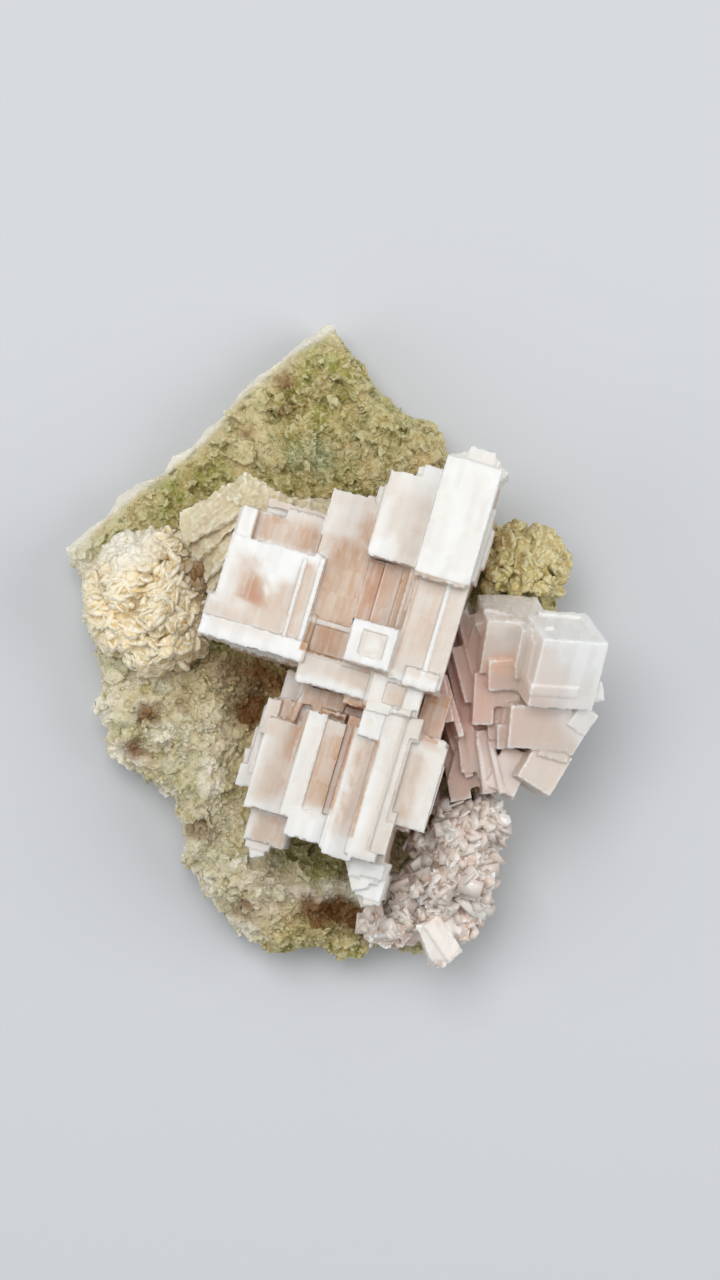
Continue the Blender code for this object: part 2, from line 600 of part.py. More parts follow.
def make_right_halite(collection, material):
    """The right-hand group: a hopper box, smaller cubes and upright laths around it."""
    fills = [box_maker(size, turned(centre, turns)) for centre, size, turns in RIGHT_CRYSTALS]
    fills.append(ball_maker(RIGHT_ROOT[1], RIGHT_ROOT[0]))
    cutters = seat_cutter("right_halite", RIGHT_SEAT)
    for index, (which, face, share, depth) in enumerate(RIGHT_HOPPERS):
        crystal = RIGHT_CRYSTALS[which]
        size = [side * share for side in crystal[1]]
        size[face] = 2 * depth
        make_helper(f"right_hopper_{index}", box_maker(size, hopper_frame(crystal, face)), cutters)
    add_spans("right_clear", RIGHT_CLEAR_MAIN, main_frame(), cutters)
    return grow_together("halite_right", fills, cutters, collection, material)


def make_upper_blades(collection, material):
    """Laths of trona that fan out from behind the main halite."""
    fills = []
    for centre, (length, thickness, height), turns in UPPER_LATHS:
        fills.append(blade_maker(height, length, thickness, turned(centre, turns)))
    fills += [ball_maker(half_axes, centre) for centre, half_axes in UPPER_ROOTS]
    cutters = seat_cutter("upper_laths", ROSETTE_SEAT)
    add_spans("upper_clear", UPPER_CLEAR_MAIN, main_frame(), cutters)
    add_spans("upper_split", UPPER_SPLIT, turned((0, 0, 0), (0, 0, SPLIT_TURN)), cutters)
    return grow_together("trona_blades_upper", fills, cutters, collection, material)


def rosette_blades(centre, half_axes, count, lengths, seed):
    """Blade shapes that stand outwards all over the upper part of an oval ball."""
    wander = random.Random(seed)
    golden = math.pi * (3 - math.sqrt(5))
    fills = []
    for index in range(count):
        up = 1 - (index + 0.5) / count * ROSETTE_REACH
        around = index * golden + wander.uniform(-ROSETTE_WANDER, ROSETTE_WANDER)
        level = math.sqrt(max(0.0, 1 - up * up))
        out = Vector((level * math.cos(around), level * math.sin(around), up))
        place = Vector(centre) + ROSETTE_SHELL * out * Vector(half_axes)
        lean = Vector([wander.uniform(-ROSETTE_LEAN, ROSETTE_LEAN) for _ in range(3)])
        stand = (out + lean).to_track_quat("Z", "Y").to_matrix().to_4x4()
        spin = Matrix.Rotation(wander.uniform(0, math.pi), 4, "Z")
        length = wander.uniform(*lengths)
        width = length * wander.uniform(*ROSETTE_BLADE_WIDTH)
        thickness = wander.uniform(*ROSETTE_BLADE_THICKNESS)
        fills.append(blade_maker(length, width, thickness, Matrix.Translation(scaled(place)) @ stand @ spin))
    return fills


def make_rosette(name, rosette, cutters, collection, material):
    """A ball of trona blades that stand outwards from its middle."""
    centre, half_axes = rosette[:2]
    core = ball_maker([ROSETTE_CORE * axis for axis in half_axes], centre)
    return grow_together(name, [core] + rosette_blades(*rosette), cutters, collection, material)


def make_left_rosette(collection, material):
    cutters = seat_cutter("rosette_left", ROSETTE_SEAT)
    add_spans("rosette_left_clear", LEFT_ROSETTE_CLEAR, Matrix.Identity(4), cutters)
    add_spans("rosette_left_split", LEFT_ROSETTE_SPLIT, turned((0, 0, 0), (0, 0, SPLIT_TURN)), cutters)
    return make_rosette("trona_rosette_left", LEFT_ROSETTE, cutters, collection, material)


def make_right_rosette(collection, material):
    cutters = seat_cutter("rosette_right", ROSETTE_SEAT)
    add_spans("rosette_right_clear", RIGHT_ROSETTE_CLEAR, Matrix.Identity(4), cutters)
    add_spans("rosette_right_main", RIGHT_ROSETTE_CLEAR_MAIN, main_frame(), cutters)
    return make_rosette("trona_rosette_right", RIGHT_ROSETTE, cutters, collection, material)


def make_druse(collection, material):
    """The lower right crust of small pink crystals, grown over a few mounds."""
    wander = random.Random(DRUSE_SEED)
    fills = [ball_maker(half_axes, centre, DRUSE_LUMPS) for centre, half_axes in DRUSE_MOUNDS]
    for index in range(DRUSE_BLOCKS):
        centre, half_axes = DRUSE_MOUNDS[index % len(DRUSE_MOUNDS)]
        around = wander.uniform(0, 2 * math.pi)
        up = wander.uniform(DRUSE_LOWEST, 1.0)
        level = math.sqrt(1 - up * up)
        out = Vector((level * math.cos(around), level * math.sin(around), up))
        place = Vector(centre) + DRUSE_BLOCK_SINK * out * Vector(half_axes)
        sides = [wander.uniform(*DRUSE_BLOCK_SIDE) for _ in range(2)]
        size = (*sides, wander.uniform(*DRUSE_BLOCK_LENGTH))
        turns = [wander.uniform(-DRUSE_BLOCK_TURN, DRUSE_BLOCK_TURN) for _ in range(3)]
        fills.append(box_maker(size, turned(place, turns)))
    fills.append(box_maker(DRUSE_PRISM[1], turned(DRUSE_PRISM[0], DRUSE_PRISM[2])))
    cutters = seat_cutter("druse", DRUSE_SEAT)
    add_spans("druse_clear_main", DRUSE_CLEAR_MAIN, main_frame(), cutters)
    add_spans("druse_clear", DRUSE_CLEAR, Matrix.Identity(4), cutters)
    return grow_together("halite_druse", fills, cutters, collection, material)


def rest_on_base(things):
    """Shifts every object so that the middle of the specimen's base is the origin."""
    bpy.context.view_layer.update()
    graph = bpy.context.evaluated_depsgraph_get()
    corners = []
    for thing in things:
        corners += [Vector(corner) for corner in thing.evaluated_get(graph).bound_box]
    low = Vector([min(corner[axis] for corner in corners) for axis in range(3)])
    high = Vector([max(corner[axis] for corner in corners) for axis in range(3)])
    shift = Vector(((low.x + high.x) / 2, (low.y + high.y) / 2, low.z))
    for thing in bpy.data.objects:
        thing.location -= shift


def main():
    clear_scene()
    specimen = make_collection("halite_on_trona")
    olive_brown = make_material("trona_olive", (0.52, 0.47, 0.30), 0.55)
    peach = make_material("trona_peach", (0.80, 0.62, 0.42), 0.45)
    cream = make_material("trona_cream", (0.78, 0.70, 0.52), 0.45)
    yellow = make_material("trona_yellow", (0.56, 0.48, 0.20), 0.40)
    white = make_material("halite_white", (0.93, 0.84, 0.80), 0.25, 0.35)
    pink = make_material("halite_pink", (0.80, 0.62, 0.56), 0.30, 0.30)
    rest_on_base([
        make_plate(specimen, olive_brown),
        make_main_halite(specimen, white),
        make_right_halite(specimen, white),
        make_upper_blades(specimen, cream),
        make_left_rosette(specimen, peach),
        make_right_rosette(specimen, yellow),
        make_druse(specimen, pink),
    ])


main()
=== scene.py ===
"""Looks of a halite on trona mineral specimen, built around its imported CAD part.

The sizes in the tables are millimetres in the part's own frame, with the specimen lying on
its broken back and Z up. Colours are linear RGB.
"""

import math

import bmesh
import bpy
import numpy as np
from bpy.props import FloatProperty, FloatVectorProperty, IntProperty, PointerProperty
from mathutils import Euler, Matrix, Vector, noise
from mathutils.bvhtree import BVHTree


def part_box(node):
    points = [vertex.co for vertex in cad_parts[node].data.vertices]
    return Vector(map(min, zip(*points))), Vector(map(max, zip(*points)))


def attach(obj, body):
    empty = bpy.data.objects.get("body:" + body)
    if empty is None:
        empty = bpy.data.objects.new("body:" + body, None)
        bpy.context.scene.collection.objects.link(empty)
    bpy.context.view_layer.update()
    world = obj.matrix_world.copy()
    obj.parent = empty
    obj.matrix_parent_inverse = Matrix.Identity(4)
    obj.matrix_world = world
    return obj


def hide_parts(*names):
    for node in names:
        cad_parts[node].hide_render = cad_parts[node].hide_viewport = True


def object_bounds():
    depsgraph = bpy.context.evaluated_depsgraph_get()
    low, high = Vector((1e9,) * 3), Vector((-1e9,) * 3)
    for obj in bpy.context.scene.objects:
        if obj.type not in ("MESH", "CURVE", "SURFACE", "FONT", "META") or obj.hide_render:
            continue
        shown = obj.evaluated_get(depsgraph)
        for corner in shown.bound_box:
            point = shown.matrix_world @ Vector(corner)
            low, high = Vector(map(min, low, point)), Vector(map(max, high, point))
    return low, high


bl_info = {
    "name": "Halite on trona specimen",
    "version": (1, 0, 0),
    "blender": (4, 5, 0),
    "location": "3D View > Sidebar > Specimen",
    "description": "Frosted hopper halite on a plate of bladed trona",
    "category": "Object",
}

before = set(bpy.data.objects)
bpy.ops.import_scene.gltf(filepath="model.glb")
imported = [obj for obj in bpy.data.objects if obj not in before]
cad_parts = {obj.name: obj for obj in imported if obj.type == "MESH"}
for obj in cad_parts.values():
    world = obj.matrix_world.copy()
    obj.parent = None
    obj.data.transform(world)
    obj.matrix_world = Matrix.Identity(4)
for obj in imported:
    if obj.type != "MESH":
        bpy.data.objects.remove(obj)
cad_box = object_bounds()

MM = 0.001
MOST_TRIANGLES = 190000

# The cubic axes of the main halite: origin, the height that it leans about, its turn about Z and
# its leans about X and Y
CRYSTAL_ORIGIN = (2.6, 8.12)
CRYSTAL_FRONT = 30.0
CRYSTAL_TURN = -16.0
CRYSTAL_LEAN = (-3.0, -4.0)

# Zones of the main halite on its own axes: left, right, foot, head, level of its front (0 keeps
# the level of the zone below), share of cream, share of salmon, share of frost. A later zone
# lies over an earlier one.
ZONES = (
    # laths seen between the two groups
    (13.4, 17.4, -19, -10.6, 24.5, 1, 0.55, 0),
    # left frame: its white band, arched hole and white patch, and the bars below it
    (-17.4, -3.7, -9.4, 2.6, 29.95, 0.4, 0, 0.1), (-17, -4.2, 0.4, 2.6, 0, 0.02, 0, 1),
    (-17.4, -15.6, -6.2, 0.6, 0, 0.1, 0, 0.6), (-14.9, -11, -6.2, -2, 0, 0.75, 0.05, 0),
    (-14.5, -12, -2, -1.5, 0, 0.6, 0, 0), (-14, -11, -6.3, -3.2, 0, 1, 1, 0),
    (-13.1, -12.1, -3.4, -2.7, 0, 0.9, 0.8, 0), (-10.9, -6.9, -6.2, -2, 0, 0.55, 0, 0),
    (-12.2, -7.4, -2, 0.6, 0, 0, 0, 1), (-11.2, -9.8, -4, -2, 0, 0.05, 0, 0.9),
    (-6.95, -6.5, -9.2, 1.6, 30.15, 0, 0, 1), (-6.5, -5, -9, 1.4, 0, 0.65, 0, 0),
    (-4.7, -3.9, -9.6, 2.4, 30.15, 0, 0, 0.9), (-18.1, -6.9, -9.3, -6.3, 29.95, 0.45, 0, 0),
    (-18.1, -12, -7.2, -6.3, 0, 0.1, 0, 0.4), (-18.1, -3.6, -12.1, -9.3, 30.9, 0.04, 0, 0.9),
    (-17, -8, -10.2, -9.4, 0, 0.2, 0, 0.2),
    # ridge behind the left frame, and the post beside it
    (-15.2, -5.6, 2.4, 6.5, 27.2, 0.8, 0.05, 0), (-8.2, -6, 3.8, 6, 0, 0.9, 0.4, 0),
    (-13.6, -9, 3, 5.6, 0, 0.62, 0, 0), (-14.2, -5, 7.6, 8.6, 26.4, 0.5, 0, 0),
    (-11.2, -5, 6.4, 7.9, 27.2, 0.35, 0, 0.2), (-17, -15, 2.4, 6.5, 29.2, 0.05, 0, 0.7),
    # column: its light head, its beige middle, the salmon slot and the streaked panes beside it
    (-5.9, -0.8, 5.6, 12.2, 28.3, 0.3, 0, 0.1), (-5.6, -4, 6, 10.2, 0, 0.14, 0, 0.4),
    (-2.4, -1, 6.4, 10.6, 0, 0.15, 0, 0.3), (-1, 1.5, 5.6, 9.5, 28.3, 0.8, 0.1, 0),
    (-1, 1.5, 9.5, 12.6, 28.3, 0.3, 0, 0), (0, 1.6, 12, 14.3, 28, 0.25, 0, 0.1),
    (-4.1, 1.6, -5.7, 5.7, 28.3, 0.95, 0.06, 0), (-3.4, -1.6, -4.6, 1.4, 0, 0.75, 0, 0),
    (-5.6, -4.1, 3, 6, 28.3, 0.4, 0, 0.1), (0.3, 1.6, -4.8, 4.4, 0, 0.85, 0.3, 0),
    (1.6, 3.9, -4.2, 4.5, 28.1, 1, 0.8, 0), (2.6, 2.9, -4.2, 3.4, 0, 0.8, 0.35, 0),
    (3.9, 8.7, -4.2, 4.6, 28.6, 0.85, 0.2, 0), (4.9, 5.2, -4.2, 3.6, 0, 0.9, 0.45, 0),
    (5.5, 6.3, -4.2, 4.6, 0, 0.5, 0, 0.2), (6.6, 6.9, -4, 3, 0, 0.9, 0.3, 0),
    (7.4, 7.9, -4.2, 4.6, 0, 0.4, 0, 0.1), (8.2, 9.6, -9.6, 3.9, 30.9, 0.55, 0.05, 0),
    (-4.1, 2.2, -6.3, -5.7, 28.5, 0.25, 0, 0.3), (-4.1, 2.3, -10.5, -6.3, 28.3, 1, 0.15, 0),
    # right pillar, its lower part
    (9.2, 15.8, -10.8, 4, 31.85, 0.3, 0.02, 0), (9.9, 12.9, -6.2, 3.9, 0, 0.5, 0.03, 0),
    (12.9, 13.4, -9.6, 3.8, 32, 0, 0, 0.8), (14.3, 15.5, -5, 3.6, 0, 0.3, 0.02, 0),
    (9.4, 15.8, -11.1, -9.8, 0, 0.04, 0, 0.8), (10.4, 10.8, -7, 2.6, 0, 0.5, 0.05, 0),
    # block at the upper right of the column, and the stairs above it
    (1.3, 8.6, 4.4, 16.3, 32.7, 0.22, 0, 0.1), (1.4, 4.6, 4.5, 7.2, 0, 0.03, 0, 0.9),
    (1.4, 2.6, 7.2, 12.6, 0, 0.08, 0, 0.5), (5.6, 8.2, 5.6, 9.6, 0, 0.42, 0.04, 0),
    (6, 8.2, 10.4, 13.4, 0, 0.36, 0.03, 0), (3.2, 5.6, 8.6, 13, 0, 0.3, 0, 0),
    (2.8, 9, 14.2, 16.5, 32.7, 0.12, 0, 0.3), (5.6, 9.2, 15.8, 18.3, 32.7, 0.06, 0, 0.6),
    # right pillar, its white upper part
    (8.2, 15.9, 3.9, 20.2, 34.7, 0.03, 0, 0.7), (9.7, 10, 5, 15, 0, 0.16, 0, 0.1),
    (13.2, 13.6, 5, 19, 0, 0.2, 0, 0.1), (14.8, 15.1, 5.4, 17, 0, 0.22, 0, 0.1),
    (11.2, 12.8, 6, 14, 0, 0, 0, 1), (8.3, 8.6, 6, 17, 0, 0.2, 0, 0.1),
    # small white square, the band below it and the lower hopper
    (2.2, 8.4, -10.2, -4.4, 33.65, 0.02, 0, 0.9), (3.7, 7.3, -9, -5.5, 33.4, 0.2, 0, 0),
    (4.7, 6.5, -8.1, -6.4, 0, 0.05, 0, 0.6), (2, 9.2, -11.4, -10.2, 30, 0.45, 0, 0),
    (-3.5, 6.7, -14.6, -10.9, 29.75, 0.35, 0, 0.1), (1, 6.2, -13.6, -11.4, 0, 0.42, 0, 0),
    (-3.5, 6.7, -14.7, -13.8, 29.75, 0.04, 0, 0.85), (6.7, 13.8, -15.8, -10.8, 30.8, 0.12, 0, 0.5),
    (8.6, 11.6, -14.4, -11.2, 30.5, 0.5, 0, 0), (7.4, 7.8, -15, -11.4, 0, 0.4, 0, 0),
    # hollow between the two groups
    (-2.2, 6.8, -18.4, -14.6, 24.6, 0.85, 0.3, 0), (3.6, 6.8, -18.4, -15.6, 23.9, 0.95, 0.75, 0),
    # left pillars: cream, with ragged spires
    (-5.2, -0.6, -20.4, -17.2, 22.8, 0.7, 0.2, 0), (-6.9, -5, -22.6, -17.7, 23.4, 0.3, 0, 0.1),
    (-6, -0.6, -33, -20.2, 24.6, 0.34, 0, 0), (-2.4, -0.7, -25.6, -20.4, 0, 0.85, 0.35, 0),
    (-4.4, -0.7, -30.8, -26, 0, 0.5, 0.03, 0), (-6.2, -5.6, -33, -23, 0, 0.05, 0, 0.8),
    (-6, -0.6, -33.1, -31.8, 0, 0.06, 0, 0.7), (-8.2, -7.2, -30.4, -27.4, 22, 0.1, 0, 0.8),
    # pillar with the beige window, and the gap beside it
    (-0.6, 2, -33.6, -17.9, 27.95, 0.1, 0, 0.5), (0.9, 1.3, -32.6, -20, 0, 0.25, 0, 0),
    (2, 4.9, -31.2, -18.4, 27.6, 0.75, 0.06, 0), (2, 4.9, -20.2, -18.2, 0, 0.34, 0.05, 0.2),
    (4.8, 6.3, -31, -17, 26.9, 0.9, 0.6, 0), (0.6, 6.2, -35.1, -31, 27.95, 0.05, 0, 0.8),
    (2.2, 6, -31.6, -30.2, 0, 0.2, 0, 0.4), (-0.8, 0.8, -34.4, -33, 27.95, 0.1, 0, 0.6),
    # streaked pillar
    (6.3, 10.2, -36, -19.3, 28.65, 0.7, 0.2, 0), (7.9, 8.2, -33, -20, 0, 0.2, 0, 0.3),
    (9, 9.4, -33, -20.6, 0, 0.75, 0.25, 0), (6.3, 6.9, -36, -18.8, 0, 0.05, 0, 0.8),
    (6.3, 10.4, -36.2, -33, 28.65, 0.05, 0, 0.8), (6.6, 9.6, -19.4, -15.8, 30.2, 0.05, 0, 0.7),
    (7.4, 8.8, -18.2, -16.2, 0, 0.3, 0, 0.2),
    # white pillar, and the framed one on the right
    (10, 13.7, -36.2, -14.2, 30.05, 0.14, 0, 0.2), (10.2, 10.8, -34.6, -19, 0, 0, 0, 0.9),
    (12, 14.8, -34.2, -15, 29.3, 0.22, 0.02, 0), (12.8, 13.2, -33, -16, 0, 0.05, 0, 0.5),
    (13.6, 18.9, -29.7, -17.8, 27.5, 0.26, 0.02, 0.1), (13.9, 16.3, -28.6, -19.4, 0, 0.44, 0.06, 0),
    (15.4, 15.7, -28, -20, 0, 0.65, 0.25, 0), (16.7, 18.9, -29.6, -18.4, 0, 0.1, 0, 0.4),
    (13.8, 18.8, -19.2, -17.9, 0, 0.16, 0, 0.3),
    # tongue below the pillars, and the small broken crystal at the foot
    (10.4, 15, -38, -35.5, 24.6, 0.03, 0, 0.9), (12, 15.6, -40.4, -37.6, 23.2, 0.03, 0, 0.9),
    (-5, 0.6, -37.3, -32.8, 22, 0.55, 0.03, 0), (-4.6, -1.2, -38.2, -37, 21.2, 0.3, 0, 0.2),
    (-4.9, -4.2, -38, -33, 0, 0.05, 0, 0.7),
)
# How softly zones pass into each other, where the tongue starts, and how deep the blocks reach
ZONE_SOFT = 0.3
TONGUE_FROM = -35
ZONE_DEPTH = 3.4

# Blocks that stand turned on those axes: centre, size, turn about the front in degrees
SPIRES = (
    ((-3.4, -19.6, 21.2), (0.6, 8.6, 5.8), -16), ((-2.5, -17.6, 21.6), (0.7, 5.6, 5.4), -7),
    ((-5.7, -21.6, 20), (0.5, 8, 5.6), 9), ((-6.7, -25, 19.4), (0.6, 6.6, 5.6), 4),
    ((-7.6, -27.6, 18.4), (0.9, 5, 5.6), 6), ((-4.8, -20.2, 20.4), (0.8, 6, 5), 4),
    ((11.6, -37.6, 21.6), (2.4, 4.4, 5.2), 28), ((14, -38.8, 20.6), (2.4, 5, 4.8), 14),
    ((14.8, -37.4, 20.6), (1.4, 4.8, 4.6), -6), ((13, -40.2, 19.6), (1.6, 3, 4.4), 36),
    ((-3.4, -37.2, 18.8), (2, 4.4, 4.4), 24), ((-1.2, -36, 18.8), (3.6, 2.6, 4.6), 30),
    ((10.4, 20, 30.6), (3, 2.4, 6.6), 24), ((13.4, 20.6, 30.4), (3.6, 2.4, 6.8), -14),
    ((15.4, 19, 30), (1.4, 3.4, 6.8), -30), ((12, 21, 30.4), (3, 1.6, 6.8), 2),
)

# Colours that stain the trona, and patches of painted shade by the main halite's left bar: kind, x, y, reach
# along, reach across, turn in degrees, strength
STAINS_AND_SHADE = (
    ("green", -20.4, 22.2, 7, 2.6, 36, 1), ("green", -34.4, 12.4, 2.4, 2, 0, 0.8),
    ("green", -18.3, 21, 2, 1.4, 30, 1), ("green", -20.5, -19, 2.8, 2.2, 0, 0.9),
    ("green", -30.5, -3.2, 2.6, 2, 0, 0.9), ("green", -31, -11.2, 2, 3.4, 0, 0.9),
    ("green", 0.8, 37.6, 3.4, 4.6, 0, 0.5), ("green", 8, 31, 4, 4, 0, 0.4),
    ("teal", -2.6, 26.4, 4.6, 3.4, 10, 1), ("teal", 5, 29, 3, 3, 0, 0.5),
    ("cream", -27, 19.6, 5, 3.2, 30, 0.8), ("cream", -35, 5.2, 3, 8, 0, 0.8),
    ("cream", -17, -12, 7, 7, 0, 0.7), ("cream", 1.2, -36.2, 7, 1.6, -15, 0.8),
    ("cream", -11.6, 29, 3.8, 5.2, 0, 0.95), ("cream", -30, -8, 4, 8, 0, 0.5),
    ("rose", -9.5, -37.4, 6, 4.4, 0, 0.8), ("rose", -22, -30, 4, 8, 30, 0.5),
    ("rose", -31, -17, 6, 4, -30, 0.5), ("rose", 14, -30, 12, 14, 0, 0.7),
    ("rose", 9.5, 23.4, 8, 5, -40, 0.3), ("brown", -6.5, 36.9, 1.3, 1, 0, 0.8),
    ("brown", -5.8, 33, 1.2, 1, 0, 0.8), ("brown", -12.3, 30.3, 1.3, 1, 0, 0.7),
    ("brown", -25.9, -9.9, 1.6, 1.4, 0, 0.9), ("brown", -27.4, -15.4, 1.8, 1.2, -40, 0.9),
    ("brown", -18.6, -26.4, 2.2, 1.4, -40, 0.6), ("brown", -12, -37.7, 1.4, 1.4, 0, 0.9),
    ("brown", -1, -37.8, 3.6, 2.4, -10, 1.2), ("brown", -11.2, -9.5, 2.8, 2.8, 0, 1.2),
    # The brown band at -9, -4.8 along the lower edge of the main halite's left bar is partly brown crystals
    # and partly painted shadow; the rose patch at -15.4, -5.2 is painted shade on the blades beside it.
    ("brown", 4, -39.2, 3.6, 2, -20, 1.1), ("brown", -9, -4.8, 6, 2.4, -18, 1),
    ("rose", -15.4, -5.2, 6, 3.2, -10, 0.9), ("brown", -20.6, -8, 2, 1.6, 0, 0.5),
    ("green", -4, -30.6, 4.5, 2.2, -20, 0.8), ("cream", 13.6, 27, 4, 9, 35, 0.5),
    ("cream", 6, 33, 2.6, 6, 30, 0.5), ("green", -1.6, 40.2, 3, 3, 0, 0.8),
    ("brown", -18, 9.2, 2.8, 2.6, 0, 1), ("rose", -8, -34.2, 6, 2.6, -20, 0.9),
)
# Sugary crust on the lower plate: x, y, reaches, share
CRUSTS = (
    (-29, -6, 8, 8, 0.6), (-20, -14, 8, 7, 0.5), (-35.5, 2, 2.6, 9, 0.9), (-19, -25, 8, 8, 0.5),
    (-12, -33, 8, 6, 0.5), (1, -35.2, 9, 1.8, 1), (-35.4, 11.4, 3.4, 3.6, 0.8), (9, -38, 6, 5, 0.8),
    (-33.4, -9, 2.6, 6, 1), (-30, -16.4, 4.4, 3, 1), (-25, -21.6, 4, 2.4, 1), (-22.6, -28.6, 2.4, 6, 1),
    (-19, -36, 3, 5, 1), (-14.4, -41, 5, 2.6, 0.9), (-24, -12.4, 2.6, 2, 0.9), (-17, -19, 2.4, 3.6, 0.9),
    (-13, -30.6, 3.4, 1.8, 0.9),
)
STAIN_AND_SHADE_KINDS = ("green", "teal", "cream", "rose", "brown")
STAIN_AND_SHADE_WANDER = 1.6

# The thin pale rim along the upper left edge of the plate, as points on it
PALE_RIM = (
    (-37.6, 13.4), (-34, 17.4), (-26.4, 23.6), (-18, 30.2), (-14.4, 35), (-7.6, 41), (-0.6, 45.3),
)
PALE_RIM_WIDTH = 0.9
UPPER_FLAKES_FROM = 6

# Balls of bladed trona: centre, half axes
LEFT_ROSETTE = ((-25.2, 6.2, 12.4), (9, 10.2, 9.6))
RIGHT_ROSETTE = ((26.6, 10.6, 12), (6.6, 6.2, 6.6))

# Slabs of cream trona behind the main halite: centre, length, width, thickness, turns, copies
CREAM_LATHS = (
    ((-16.6, 18.2, 17), (11, 5, 1), (-30, -8, 37), 3), ((-14.6, 20, 17.2), (8, 4.4, 0.9), (-22, -6, 32), 3),
    ((-8.6, 19.8, 17.4), (9.4, 5, 1), (-26, 8, -26), 3),
    ((-11.6, 20.9, 17.6), (5, 3.6, 0.8), (-34, 2, -6), 2),
    ((-3.4, 17.8, 15.6), (7.4, 4.2, 1), (-24, 6, -16), 3),
    ((-16, 15, 16.8), (9, 4.4, 0.7), (-38, -8, 42), 4),
    ((-15.2, 12.2, 16.2), (8, 3.6, 0.7), (-46, -6, 46), 4),
    ((-18.8, 13, 15.4), (8.4, 3.4, 0.6), (-40, -12, 52), 4),
    ((-16.4, 9.4, 15.6), (6.4, 3.4, 0.7), (-36, 10, 60), 4),
    ((-9.6, 18.4, 16.2), (7, 0.5, 6), (18, 6, -24), 4), ((-12.4, 18, 16.6), (6, 0.5, 6.4), (14, 4, 8), 4),
    ((-6.2, 17.4, 15.6), (6.4, 0.5, 6), (20, 4, -30), 3),
    ((-0.4, 17.2, 14.4), (5, 3, 1.2), (-20, 4, -6), 3),
    ((-13.6, 16.6, 16.4), (7, 2.6, 0.6), (-30, 0, 34), 3),
)
LATH_TURN = 38
LATH_ROOTS = (
    ((-11.2, 17.4, 11), (9, 3.6, 4.6)), ((-18.2, 12.8, 11), (4.2, 5.6, 4.4)),
    ((-2.2, 17.4, 11), (6, 3.2, 4.2)), ((-15.4, 9.6, 12), (3.4, 4.6, 4.8)),
)
# Body and tip colours of the slabs
SLAB_COLOURS = ((0.72, 0.64, 0.43), (0.86, 0.82, 0.67))
# Blocks added to the right-hand group: centre, size, turns
RIGHT_EXTRAS = (
    ((31.2, -2.2, 23.6), (8.2, 9.5, 8.6), (25, 19, -4)), ((24.6, 1.2, 20), (8.2, 8.1, 8.6), (24, 12, -3)),
    ((28.6, 2, 26.2), (3.4, 1.4, 2.6), (25, 19, 10)), ((23.6, -3.4, 20.8), (4.3, 4.3, 6.34), (16, 8, 2)),
    ((23.8, 4.6, 20.8), (6.6, 1, 6.2), (14, 10, -12)), ((21.8, 2, 22), (2.8, 4.6, 3), (30, -8, 18)),
    ((30.2, -6, 26.4), (7, 1.5, 2.6), (25, 19, -4)), ((27.4, -2.2, 26.6), (1.2, 6.6, 2.4), (25, 19, -2)),
    ((16.9, -6.4, 16), (1.6, 12, 6.2), (0, 14, 12)), ((18.3, -5, 17), (1.2, 9, 5.4), (4, 24, 20)),
    ((19.6, -12.2, 16.2), (1.3, 11, 5.8), (2, -8, 8)), ((17.6, -12.6, 15.4), (1.2, 12.6, 6), (-2, 4, 13)),
    ((15.9, -12, 14.4), (1, 9, 6), (0, 12, 16)), ((20.6, -14.6, 15.6), (0.9, 8.4, 6.2), (-4, 8, -4)),
    ((16.4, -1.4, 16.4), (2.6, 6.4, 5), (6, 16, 24)), ((18.6, 3.2, 18.4), (2.4, 4, 5), (12, -10, 20)),
    ((22.6, -17.4, 17.4), (0.7, 7.6, 6), (-4, 6, 12)), ((21.2, -17, 17), (0.6, 7, 6), (-4, -6, 9)),
    ((24, -12.6, 18.8), (2.6, 3.4, 6), (6, 4, 0)), ((25.8, -9, 20.6), (2.2, 2, 4.4), (10, 10, -2)),
    ((30.6, -13.4, 19), (4.4, 4.8, 5.6), (2, 16, -16)), ((33, -12.4, 19.4), (2.6, 4.6, 5), (6, 20, -30)),
    ((28.2, -10.6, 18.6), (8.3, 5.9, 8.92), (12, 10, -3)),
    ((28.8, -17, 18.2), (5.5, 5.9, 6.74), (-8, 14, -33)), ((24.2, -6.2, 18.6), (3.3, 3.7, 6.94), (8, 5, 3)),
    ((20.8, -7.2, 17.8), (2.7, 7.1, 8.94), (4, 6, -2)), ((22.9, -10.2, 17.2), (2.1, 5.3, 6.94), (3, 0, 4)),
    ((24.9, -17.9, 16.8), (4.1, 6.1, 6.54), (-6, -4, -24)), ((18.9, -0.6, 16.6), (3, 8.6, 9), (0, 14, 14)),
    ((17.8, -4.4, 16.6), (2, 8, 9), (0, 10, 14)), ((14.6, -7.6, 18.2), (2.4, 7, 9), (0, 8, 12)),
    ((16, -8.8, 17.4), (0.9, 9, 8.4), (0, 12, 16)), ((13.6, -12, 13.6), (1.6, 6, 6.4), (4, 4, 10)),
    ((19, -17.6, 14.8), (1.4, 5, 5.6), (4, 6, 14)), ((27.6, -9.4, 17.4), (9, 7.2, 6.4), (8, 12, -8)),
    ((24.6, -4.4, 18.6), (6.6, 4.6, 7), (10, 10, -4)),
)
